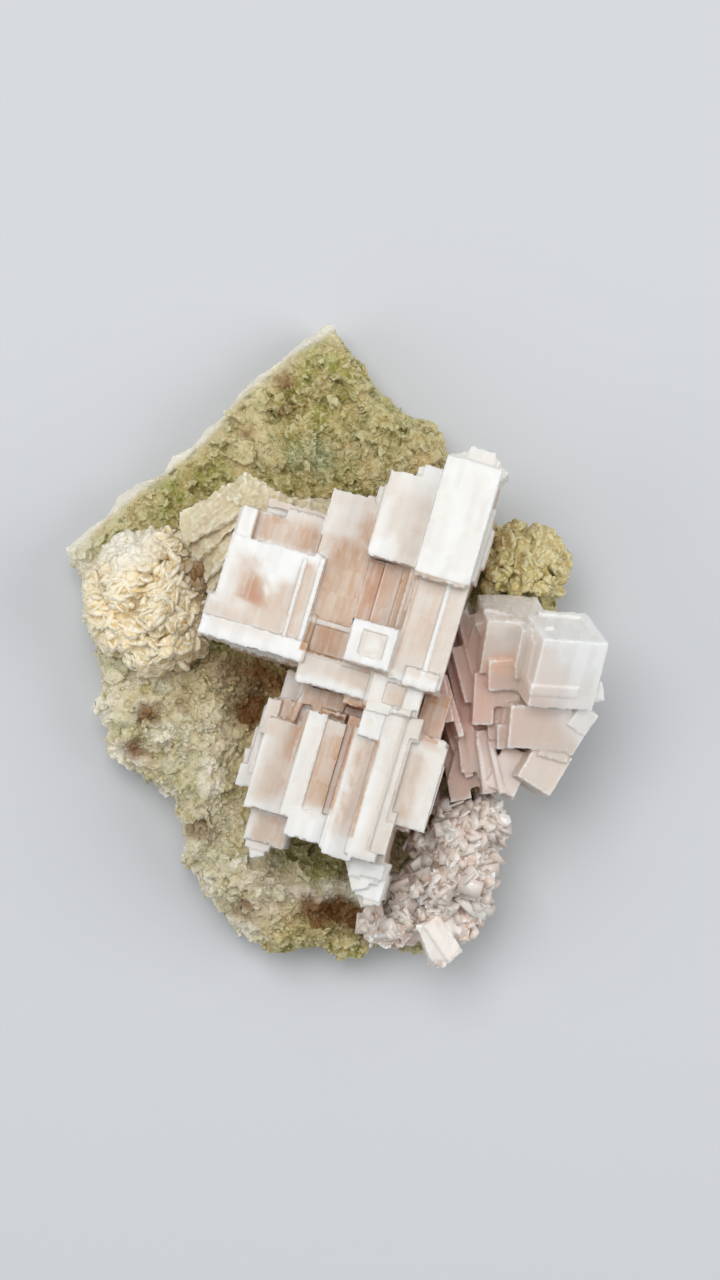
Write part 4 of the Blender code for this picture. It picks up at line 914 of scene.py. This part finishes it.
def ragged(mesh, ends, crumbs):
    """Steps the ends of the crystals by columns, and crumbles their edges."""
    points = points_of(mesh)
    normals = normals_of(mesh)
    edge = np.clip(swelling(mesh, 4) / 0.12, 0.0, 1.0)
    column = np.floor(points[:, 0] / 0.55)
    storey = np.floor(points[:, 1] / 9.0)
    level = np.floor(points[:, 2] / 1.6)
    step = cell_steps(np.stack([column, storey, level], 1), 3) - 0.6
    shift = normals * (crumbs * edge * rough(points, 0.38, 14.0) - 0.3 * crumbs * edge)[:, None]
    facing = np.abs(normals[:, 1]) > 0.5
    shift[:, 1] += np.where(facing, np.sign(normals[:, 1]) * ends * step, 0.0)
    move_points(mesh, points + shift)


def hollow_depths(mesh, reach, full):
    """How deep each point lies below the fronts around it, from 0 to 1."""
    points = points_of(mesh)
    cell = 0.5
    low = points[:, :2].min(axis=0)
    index = ((points[:, :2] - low) / cell).astype(int)
    shape = index.max(axis=0) + 1
    tops = np.full(shape, points[:, 2].min())
    np.maximum.at(tops, (index[:, 0], index[:, 1]), points[:, 2])
    steps = int(reach / cell)
    total = np.zeros(shape)
    for dx in range(-steps, steps + 1):
        for dy in range(-steps, steps + 1):
            total += np.roll(np.roll(tops, dx, 0), dy, 1)
    around = total / (2 * steps + 1) ** 2
    return np.clip((around[index[:, 0], index[:, 1]] - points[:, 2]) / full, 0.0, 1.0)


def zone_colours(points):
    """The shares of cream, salmon and frost at each point of the main halite, on its own axes."""
    shares = np.tile((0.08, 0.0, 0.3), (len(points), 1))
    fine = rough(points, 0.5, 3.0)
    wander = 0.6 * rough(points * (1.0, 0.2, 1.0), 0.7, 8.0) + 0.4 * rough(points, 2.0, 5.0)
    for left, right, foot, head, level, *wanted in ZONES:
        inside = np.minimum.reduce([
            points[:, 0] - left, right - points[:, 0], points[:, 1] - foot, head - points[:, 1],
        ])
        soft = ZONE_SOFT if level else 2.5 * ZONE_SOFT
        weight = np.clip((inside + 0.12 * fine + 0.3 * soft * wander) / soft + 0.5, 0.0, 1.0)
        shares += (np.array(wanted) - shares) * weight[:, None]
    shares[:, 0] *= 1.0 + 0.5 * wander
    shares[:, 2] *= np.clip(0.8 + 0.8 * wander, 0.0, 1.0)
    return np.clip(shares, 0.0, 1.0).T


class SPECIMEN_OT_main_halite(bpy.types.Operator):
    """Build the large stepped halite"""

    bl_idname = "specimen.main_halite"
    bl_label = "Main halite"

    def execute(self, context):
        settings = context.scene.specimen_halite
        axes = crystal_axes()
        bm = merged_copy("halite_main")
        boxes = zone_boxes()
        for box in boxes:
            add_block(bm, box, axes)
        for centre, size, turn in SPIRES:
            add_turned(bm, axes @ placed(centre, (0, 0, turn)), size)
        bmesh.ops.transform(bm, matrix=axes.inverted(), verts=bm.verts[:])
        mesh = grown_together(bm, settings.skin / MM)
        snapped(mesh, boxes, 0.7 * settings.skin / MM)
        ragged(mesh, settings.ragged / MM, settings.crumbs / MM)
        points = points_of(mesh)
        cream, salmon, frost = zone_colours(points)
        # Painted shade: points deep below the fronts around them take the salmon colour.
        deep_tone_and_shade = hollow_depths(mesh, 2.5, 6.0)
        bulge = swelling(mesh, 5)
        # Painted shade: sides low on the crystal, under a front of 29 mm and except on the tongue, turn
        # salmon and lose their frost.
        low_side_shade = np.clip((29.0 - points[:, 2]) / 5.0, 0.0, 1.0) * (normals_of(mesh)[:, 2] < 0.6)
        low_side_shade *= points[:, 1] > TONGUE_FROM
        # Edges and creases are whitened, partly frost and partly painted highlight.
        set_values(mesh, "edge", np.maximum(bulge, -0.8 * bulge))
        set_values(mesh, "deep_tone_and_shade", np.maximum.reduce([salmon, deep_tone_and_shade * 0.7 * (deep_tone_and_shade > 0.25), 0.45 * low_side_shade]))
        set_values(mesh, "frost", frost * (1.0 - low_side_shade))
        set_values(mesh, "warm", cream)
        mesh = lightened(mesh, MOST_TRIANGLES)
        mesh.transform(axes)
        hold_inside(mesh)
        colours = (settings.white, settings.peach, settings.salmon)
        material = halite_material("frosted halite", settings, *colours)
        link_piece("halite_crystals", mesh, material, "halite_main")
        return {"FINISHED"}


class SPECIMEN_OT_right_halite(bpy.types.Operator):
    """Build the right-hand group of halite"""

    bl_idname = "specimen.right_halite"
    bl_label = "Right halite"

    def execute(self, context):
        settings = context.scene.specimen_halite
        bm = merged_copy("halite_right")
        for centre, size, turns in RIGHT_EXTRAS:
            add_turned(bm, placed(centre, turns), size)
        turn = placed((31.0, -2.0, 20.0), (12, 10, -3))
        bmesh.ops.transform(bm, matrix=turn.inverted(), verts=bm.verts[:])
        mesh = grown_together(bm, 0.2)
        ragged(mesh, 0.6 * settings.ragged / MM, settings.crumbs / MM)
        depth = hollow_depths(mesh, 2.5, 5.0)
        # Edges are whitened, partly frost and partly painted highlight.
        edge = 1.7 * swelling(mesh, 5)
        mesh.transform(turn)
        points = points_of(mesh)
        set_values(mesh, "edge", edge)
        shares = np.zeros((len(points), 3))
        total = np.full(len(points), 0.0005)
        wander = 0.8 * np.stack([rough(points, 1.8, 6.0), rough(points, 1.8, 16.0)], axis=1)
        for x, y, reach, *wanted in RIGHT_PATCHES:
            off = ((points[:, :2] + wander - (x, y)) ** 2).sum(axis=1)
            weight = np.exp(-off * 1.6 / reach ** 2) / reach ** 2
            shares += weight[:, None] * np.array(wanted)
            total += weight
        rose, salmon, frost = np.clip(shares / total[:, None], 0.0, 1.0).T
        set_values(mesh, "warm", rose)
        # Painted shade: hollows left of x 28 mm take the deep colour, besides the salmon patches.
        set_values(mesh, "deep_tone_and_shade", np.maximum(salmon, 0.5 * depth * (points[:, 0] < 28.0)))
        set_values(mesh, "frost", frost)
        mesh = lightened(mesh, MOST_TRIANGLES)
        hold_inside(mesh)
        material = halite_material("rosy halite", settings, RIGHT_CLEAN, settings.mauve, RIGHT_DEEP)
        material.node_tree.nodes["Principled BSDF"].inputs["Transmission Weight"].default_value = 0.05
        link_piece("halite_group", mesh, material, "halite_right")
        return {"FINISHED"}


def other_solids(left_out):
    """A search tree over the CAD solids, but for those left out."""
    bm = bmesh.new()
    for name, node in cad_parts.items():
        if name not in left_out:
            bm.from_mesh(node.data)
    tree = BVHTree.FromBMesh(bm)
    bm.free()
    return tree


def clear_of(tree, points, gap):
    """Which points are outside the tree's solids and at least a gap from them."""
    keep = np.ones(len(points), bool)
    for index, point in enumerate(points):
        spot = along(point)
        near, normal, _, away = tree.find_nearest(spot)
        if away < gap * MM or (spot - near).dot(normal) < 0:
            keep[index] = False
    return keep


def plate_skin(settings):
    """The plate's own surface: knobby, pitted, flat where it rests."""
    bm = merged_copy("trona_matrix")
    mesh = grown_together(bm, settings.skin / MM)
    points = points_of(mesh)
    normals = normals_of(mesh)
    large = facets(points, 2.3, 4.0)
    small = facets(points, 1.1, 9.0)
    height = 0.4 * rough(points, 3.0, 5.0) + 0.55 * large + 0.75 * small - 0.75
    hold = np.clip(points[:, 2] / 1.2, 0.0, 1.0) * np.clip(off_the_rim(points) / 2.6, 0.15, 1.0)
    points += normals * (height * hold)[:, None]
    points[:, 2] = np.where(points[:, 2] < 0.25, 0.0, points[:, 2])
    move_points(mesh, kept_inside(points, 0.0))
    return mesh


def stain_and_shade_mesh(mesh, points, white):
    for kind, amount in stains_and_shade_at(points).items():
        set_values(mesh, kind, amount)
    set_values(mesh, "white", white)


def rim_white(points):
    """Where the plate is white: its thin upper left rim and, in patches, the crust below."""
    away = off_the_rim(points) + 0.35 * rough(points, 1.2, 21.0)
    patchy = np.clip(0.88 + 1.1 * rough(points, 1.5, 61.0) + 0.5 * rough(points, 3.6, 67.0), 0.0, 1.0)
    found = np.clip(1.8 - away / PALE_RIM_WIDTH, 0.0, 1.0)
    for x, y, reach, across, share in CRUSTS:
        off = ((points[:, 0] - x) / reach) ** 2 + ((points[:, 1] - y) / across) ** 2
        found = np.maximum(found, share * patchy * np.exp(-off ** 2))
    return found


class SPECIMEN_OT_plate(bpy.types.Operator):
    """Build the trona plate and the flakes and grains that cover it"""

    bl_idname = "specimen.plate"
    bl_label = "Trona plate"

    def execute(self, context):
        settings = context.scene.specimen_trona
        rng = np.random.default_rng(11)
        mesh = plate_skin(settings)
        points = points_of(mesh)
        skin = trona_material("olive trona", settings.olive, settings.pale, settings, 0.35)
        material = trona_material("olive flakes", settings.olive, settings.pale, settings)
        stain_and_shade_mesh(mesh, points, rim_white(points))
        set_values(mesh, "tip", np.clip(0.35 + swelling(mesh, 6) / 0.35, 0.0, 1.0))
        set_values(mesh, "tint", np.clip(0.5 + 0.9 * rough(points, 2.4, 3.0), 0.0, 1.0))
        spots, normals = surface_spots(mesh, settings.flakes * 4, rng)
        mesh = lightened(mesh, MOST_TRIANGLES)
        link_piece("trona_plate", mesh, skin, "trona_matrix")
        keep = (spots[:, 2] > 1.5) & (normals[:, 2] > -0.35)
        spots, normals = spots[keep], normals[keep]
        keep = clear_of(other_solids(("trona_matrix",)), spots + 0.6 * normals, 0.35)
        spots, normals = spots[keep], normals[keep]
        glassy = np.maximum(stains_and_shade_at(spots)["green"], 2.4 - off_the_rim(spots) / 2.2)
        keep = glassy <= rng.uniform(0.15, 0.6, len(spots))
        spots, normals = spots[keep], normals[keep]
        upper = spots[:, 1] > UPPER_FLAKES_FROM
        first = np.flatnonzero(upper)[:settings.flakes]
        flakes = plate_flakes(spots[first], normals[first], settings, rng)
        link_piece("trona_upper_flakes", flakes, material, None)
        lower = np.flatnonzero(~upper)
        flakes = plate_flakes(spots[lower[0::2]], normals[lower[0::2]], settings, rng, 0.85)
        link_piece("trona_lower_flakes", flakes, material, None)
        grains = plate_grains(spots[lower[1::2]], normals[lower[1::2]], settings, rng)
        link_piece("trona_grains", grains, material, None)
        return {"FINISHED"}


def flake_values(spots, rng):
    values = stains_and_shade_at(spots)
    values["white"] = rim_white(spots)
    tint = 0.5 + 0.9 * rough(spots, 2.4, 3.0) + rng.normal(0.0, 0.2, len(spots))
    values["tint"] = np.clip(tint, 0.0, 1.0)
    return values


def plate_flakes(spots, normals, settings, rng, share=1.0):
    """Flakes of trona that overlap on the plate, turned together in small tufts."""
    count = len(spots)
    tuft = tufts(spots, 1.7)
    facing = unit(normals * settings.lie + 1.4 * tuft + rng.normal(0.0, 0.35, (count, 3)))
    facing *= np.where((facing * normals).sum(axis=1) < 0.0, -1.0, 1.0)[:, None]
    length = settings.flake / MM * share * rng.uniform(0.55, 1.25, count)
    sizes = np.stack([length, length * rng.uniform(0.35, 0.7, count), rng.uniform(0.06, 0.16, count)], axis=1)
    turns = standing(facing, rng.uniform(0.0, math.pi, count))
    places = spots + normals * rng.uniform(-0.2, 0.14, count)[:, None]
    mesh = joined_copies(flake_shape(), places, turns, sizes, flake_values(spots, rng))
    hold_inside(mesh)
    return mesh


def plate_grains(spots, normals, settings, rng):
    """Sugary grains between the flakes of the lower plate."""
    count = len(spots)
    width = settings.flake / MM * rng.uniform(0.3, 0.75, count)
    sizes = width[:, None] * rng.uniform(0.6, 1.1, (count, 3))
    turns = standing(rng.normal(0.0, 1.0, (count, 3)), rng.uniform(0.0, math.pi, count))
    places = spots + normals * (0.2 * width)[:, None]
    mesh = joined_copies(grain_shape(), places, turns, sizes, flake_values(spots, rng))
    hold_inside(mesh)
    return mesh


def rosette(centre, half_axes, clusters, plates, size, rng):
    """Places for rounded plates that radiate from many small centres over an oval ball."""
    golden = math.pi * (3 - math.sqrt(5))
    index = np.arange(clusters)
    up = 1.0 - (index + 0.5) / clusters
    around = index * golden
    level = np.sqrt(1 - up ** 2)
    out = np.stack([level * np.cos(around), level * np.sin(around), up], axis=1)
    out = unit(out + rng.normal(0.0, 0.08, out.shape))
    centres = np.array(centre) + 0.74 * out * np.array(half_axes)
    which = rng.integers(0, clusters, plates)
    spread = unit(out[which] + rng.normal(0.0, 0.6, (plates, 3)))
    reach = size * rng.uniform(0.5, 0.95, plates)
    places = centres[which] + spread * reach[:, None]
    facing = unit(0.55 * spread + rng.normal(0.0, 0.6, (plates, 3)))
    return places, facing


class SPECIMEN_OT_rosettes(bpy.types.Operator):
    """Build the two balls of bladed trona"""

    bl_idname = "specimen.rosettes"
    bl_label = "Rosettes"

    def execute(self, context):
        settings = context.scene.specimen_trona
        rng = np.random.default_rng(23)
        honey = trona_material("honey trona", settings.honey, (0.99, 0.92, 0.74), settings, 0.0, 0.7)
        gold = trona_material("golden trona", settings.gold, (0.74, 0.68, 0.40), settings, 0.0, 0.8)
        for name, ball, clusters, plates, size, material, slot in (
            ("rosette_left", LEFT_ROSETTE, 40, 1500, 2.9, honey, "trona_peach"),
            ("rosette_right", RIGHT_ROSETTE, 26, 900, 2.2, gold, "trona_yellow"),
        ):
            node = "trona_" + name
            core = grown_together(merged_copy(node), 0.45)
            points = evened(points_of(core), edges_of(core), 12)
            move_points(core, points)
            points = points + normals_of(core) * (0.5 * rough(points, 1.4, 4.0) - 0.2)[:, None]
            move_points(core, points)
            stain_and_shade_mesh(core, points, np.zeros(len(points)))
            set_values(core, "tint", 0.5 + 0.5 * rough(points, 2.0, 3.0))
            set_values(core, "tip", np.zeros(len(points)))
            link_piece(name + "_heart", core, material, node)
            places, direction = rosette(*ball, clusters, plates, size, rng)
            low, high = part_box(node)
            inside = ((places > np.array(low) / MM) & (places < np.array(high) / MM - 0.6)).all(axis=1)
            inside &= clear_of(other_solids((node, "trona_matrix")), places, 0.7)
            places = places[inside]
            direction = direction[inside]
            count = len(places)
            width = size * rng.uniform(0.65, 1.1, count)
            across = width * rng.uniform(0.6, 1.0, count)
            sizes = np.stack([width, across, rng.uniform(0.5, 1.1, count)], axis=1)
            turns = standing(direction, rng.uniform(0.0, math.pi, count))
            values = stains_and_shade_at(places)
            snow = np.zeros(count)
            if name == "rosette_left":
                snow = np.clip(1.4 - np.hypot(places[:, 0] + 28.8, places[:, 1] - 13.6) / 4.2, 0.0, 1.0)
            values["white"] = snow
            values["tint"] = np.clip(rng.random(count) + 0.1 * (places[:, 0] - ball[0][0]), 0.0, 1.0)
            mesh = joined_copies(petal_shape(), places, turns, sizes, values)
            hold_inside(mesh)
            link_piece(name + "_plates", mesh, material, None)
        return {"FINISHED"}


class SPECIMEN_OT_laths(bpy.types.Operator):
    """Build the cream laths behind the main halite"""

    bl_idname = "specimen.laths"
    bl_label = "Cream laths"

    def execute(self, context):
        settings = context.scene.specimen_trona
        rng = np.random.default_rng(31)
        bm = bmesh.new()
        for centre, half_axes in LATH_ROOTS:
            shape = Matrix.Translation(along(centre)) @ Matrix.Diagonal((*along(half_axes), 1.0))
            bmesh.ops.create_icosphere(bm, subdivisions=3, radius=1.0, matrix=shape)
        for centre, size, turns, copies in CREAM_LATHS:
            whole = placed(centre, turns)
            for copy in range(copies):
                rise = 0.9 * min(size) * (copy - 0.5 * copies)
                offset = rng.normal(0.0, 0.07, 3) * size + (0.0, 0.0, rise)
                lean = rng.normal(0.0, 5.0, 3)
                share = np.array((rng.uniform(0.75, 1.0), rng.uniform(0.75, 1.0), rng.uniform(0.6, 0.9)))
                add_turned(bm, whole @ placed(offset, lean), share * size)
        mesh = grown_together(bm, 0.24)
        points = points_of(mesh)
        low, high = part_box("trona_blades_upper")
        low = np.array(low) / MM
        high = np.array(high) / MM
        height = 0.5 * rough(points, 1.3, 8.0) + 0.25 * rough(points, 0.6, 18.0)
        points += normals_of(mesh) * height[:, None]
        points = np.clip(points, low - 0.3, high + 0.3)
        move_points(mesh, points)
        for kind in ("cream", "green", "teal", "brown", "white"):
            set_values(mesh, kind, np.zeros(len(points)))
        # Painted shade: the recesses between the slabs take the rose colour.
        set_values(mesh, "rose", 0.9 * hollow_depths(mesh, 1.5, 3.0))
        set_values(mesh, "tint", np.full(len(points), 0.1))
        set_values(mesh, "tip", np.clip(0.3 + swelling(mesh, 5) / 0.22, 0.0, 1.0))
        material = trona_material("cream trona", *SLAB_COLOURS, settings, 0.5, 0.5, 0.0)
        link_piece("cream_laths", mesh, material, "trona_blades_upper")
        return {"FINISHED"}


class SPECIMEN_OT_druse(bpy.types.Operator):
    """Build the lower right crust of small rosy crystals"""

    bl_idname = "specimen.druse"
    bl_label = "Rosy druse"

    def execute(self, context):
        settings = context.scene.specimen_halite
        rng = np.random.default_rng(47)
        bm = merged_copy("halite_druse")
        centre, size, turns = PRISM
        add_turned(bm, placed(centre, turns), size)
        mesh = grown_together(bm, 0.28)
        points = points_of(mesh)
        large = facets(points, 2.6, 4.0)
        small = facets(points, 1.3, 9.0)
        away = np.hypot(points[:, 0] - centre[0], points[:, 1] - centre[1])
        move = (0.8 * large + 0.8 * small - 0.9) * np.clip(away / 2.0 - 1.4, 0.0, 1.0)
        points = points + normals_of(mesh) * move[:, None]
        move_points(mesh, kept_inside(points))
        material = halite_material("rosy druse", settings, *DRUSE_COLOURS)
        shader = material.node_tree.nodes["Principled BSDF"]
        shader.inputs["Transmission Weight"].default_value = 0.0
        shader.inputs["Subsurface Weight"].default_value = 0.0
        near = np.clip(1.6 - away / 3.0, 0.0, 1.0)
        # Edges are whitened, partly frost and partly painted highlight, and hollows away from the prism take
        # the deep colour as painted shade.
        set_values(mesh, "edge", swelling(mesh, 4))
        set_values(mesh, "deep_tone_and_shade", hollow_depths(mesh, 2.0, 4.0) * (1.0 - near))
        pale = np.clip((points[:, 0] - 19.0) / 4.0, 0.0, 1.0) + 0.4 * rough(points, 3.0, 12.0)
        set_values(mesh, "warm", np.clip(0.75 - 0.6 * pale + 0.4 * rough(points, 1.5, 3.0), 0.0, 1.0))
        set_values(mesh, "frost", np.clip(0.4 * pale + 0.5 * near, 0.0, 1.0))
        link_piece("druse_mound", mesh, material, "halite_druse")
        spots, normals = surface_spots(mesh, 420, rng)
        others = other_solids(("halite_druse", "trona_matrix"))
        keep = (normals[:, 2] > -0.2) & clear_of(others, spots + 0.5 * normals, 0.5)
        keep &= np.hypot(spots[:, 0] - centre[0], spots[:, 1] - centre[1]) > 3.6
        keep &= (spots[:, 1] > -41.0) | (spots[:, 0] > 11.0)
        spots = spots[keep]
        tuft = tufts(spots, 2.2)
        lean = unit(normals[keep] + 1.6 * tuft + rng.normal(0.0, 0.3, (keep.sum(), 3)))
        count = len(spots)
        length = rng.uniform(1.0, 3.4, count)
        sizes = np.stack([rng.uniform(1.0, 2.8, count), rng.uniform(0.3, 0.8, count), length], axis=1)
        values = {"edge": rng.uniform(0.0, 0.09, count), "deep_tone_and_shade": rng.uniform(0.0, 0.25, count)}
        values["frost"] = rng.uniform(0.0, 0.3, count)
        values["warm"] = np.clip(0.6 + 0.8 * rough(spots, 3.0, 2.0) + rng.normal(0.0, 0.2, count), 0.0, 1.0)
        turns = standing(lean, rng.uniform(0.0, math.pi, count))
        mesh = joined_copies(block_shape(), spots - lean * (0.62 * length)[:, None], turns, sizes, values)
        hold_inside(mesh)
        link_piece("druse_crystals", mesh, material, None)
        return {"FINISHED"}


def add_light(name, place, target, power, size):
    light = bpy.data.lights.new(name, "AREA")
    light.energy = power
    light.shape = "DISK"
    light.size = size
    lamp = bpy.data.objects.new(name, light)
    lamp.location = place
    lamp.rotation_euler = (Vector(target) - Vector(place)).to_track_quat("-Z", "Y").to_euler()
    bpy.context.scene.collection.objects.link(lamp)


class SPECIMEN_OT_stage(bpy.types.Operator):
    """Set up the floor, the soft lights and the camera"""

    bl_idname = "specimen.stage"
    bl_label = "Stage"

    def execute(self, context):
        settings = context.scene.specimen_stage
        bm = bmesh.new()
        bmesh.ops.create_grid(bm, x_segments=1, y_segments=1, size=1.5)
        mesh = bpy.data.meshes.new("floor")
        bm.to_mesh(mesh)
        bm.free()
        material, tree, shader = new_material("pale floor", 0.7)
        shader.inputs["Base Color"].default_value = (*settings.floor, 1.0)
        mesh.materials.append(material)
        floor = bpy.data.objects.new("floor", mesh)
        context.scene.collection.objects.link(floor)
        middle = (0.004, 0.0, 0.015)
        add_light("key", (-0.10, 0.20, 0.62), middle, settings.key, 0.4)
        add_light("fill_left", (-0.5, -0.05, 0.35), middle, settings.fill, 0.5)
        add_light("fill_right", (0.5, 0.0, 0.45), middle, 2.2 * settings.fill, 0.5)
        world = bpy.data.worlds.new("soft studio")
        world.use_nodes = True
        world.node_tree.nodes["Background"].inputs["Color"].default_value = (0.9, 0.95, 1.0, 1.0)
        world.node_tree.nodes["Background"].inputs["Strength"].default_value = 0.35
        context.scene.world = world
        context.scene.view_settings.view_transform = "Standard"
        data = bpy.data.cameras.new("camera")
        data.sensor_fit = "VERTICAL"
        data.sensor_height = SENSOR_HEIGHT
        data.lens = SENSOR_HEIGHT * settings.height / (PICTURE_HEIGHT / PIXELS_PER_MM * MM)
        camera = bpy.data.objects.new("camera", data)
        camera.location = (3.97 * MM, 0.51 * MM, 20 * MM + settings.height)
        context.scene.collection.objects.link(camera)
        context.scene.camera = camera
        return {"FINISHED"}


class SPECIMEN_PT_panel(bpy.types.Panel):
    bl_label = "Halite on trona"
    bl_space_type = "VIEW_3D"
    bl_region_type = "UI"
    bl_category = "Specimen"

    def draw(self, context):
        layout = self.layout
        for operator in OPERATORS:
            layout.operator(operator.bl_idname)
        scene = context.scene
        for settings in (scene.specimen_halite, scene.specimen_trona, scene.specimen_stage):
            box = layout.box()
            for name in settings.__annotations__:
                box.prop(settings, name)


OPERATORS = (
    SPECIMEN_OT_stage,
    SPECIMEN_OT_main_halite,
    SPECIMEN_OT_right_halite,
    SPECIMEN_OT_plate,
    SPECIMEN_OT_rosettes,
    SPECIMEN_OT_laths,
    SPECIMEN_OT_druse,
)
CLASSES = (HaliteSettings, TronaSettings, StageSettings, *OPERATORS, SPECIMEN_PT_panel)


def register():
    for cls in CLASSES:
        bpy.utils.register_class(cls)
    bpy.types.Scene.specimen_halite = PointerProperty(type=HaliteSettings)
    bpy.types.Scene.specimen_trona = PointerProperty(type=TronaSettings)
    bpy.types.Scene.specimen_stage = PointerProperty(type=StageSettings)


def unregister():
    del bpy.types.Scene.specimen_halite
    del bpy.types.Scene.specimen_trona
    del bpy.types.Scene.specimen_stage
    for cls in reversed(CLASSES):
        bpy.utils.unregister_class(cls)


def main():
    register()
    bpy.ops.specimen.stage()
    bpy.ops.specimen.main_halite()
    bpy.ops.specimen.right_halite()
    bpy.ops.specimen.plate()
    bpy.ops.specimen.rosettes()
    bpy.ops.specimen.laths()
    bpy.ops.specimen.druse()


if __name__ == "__main__":
    main()
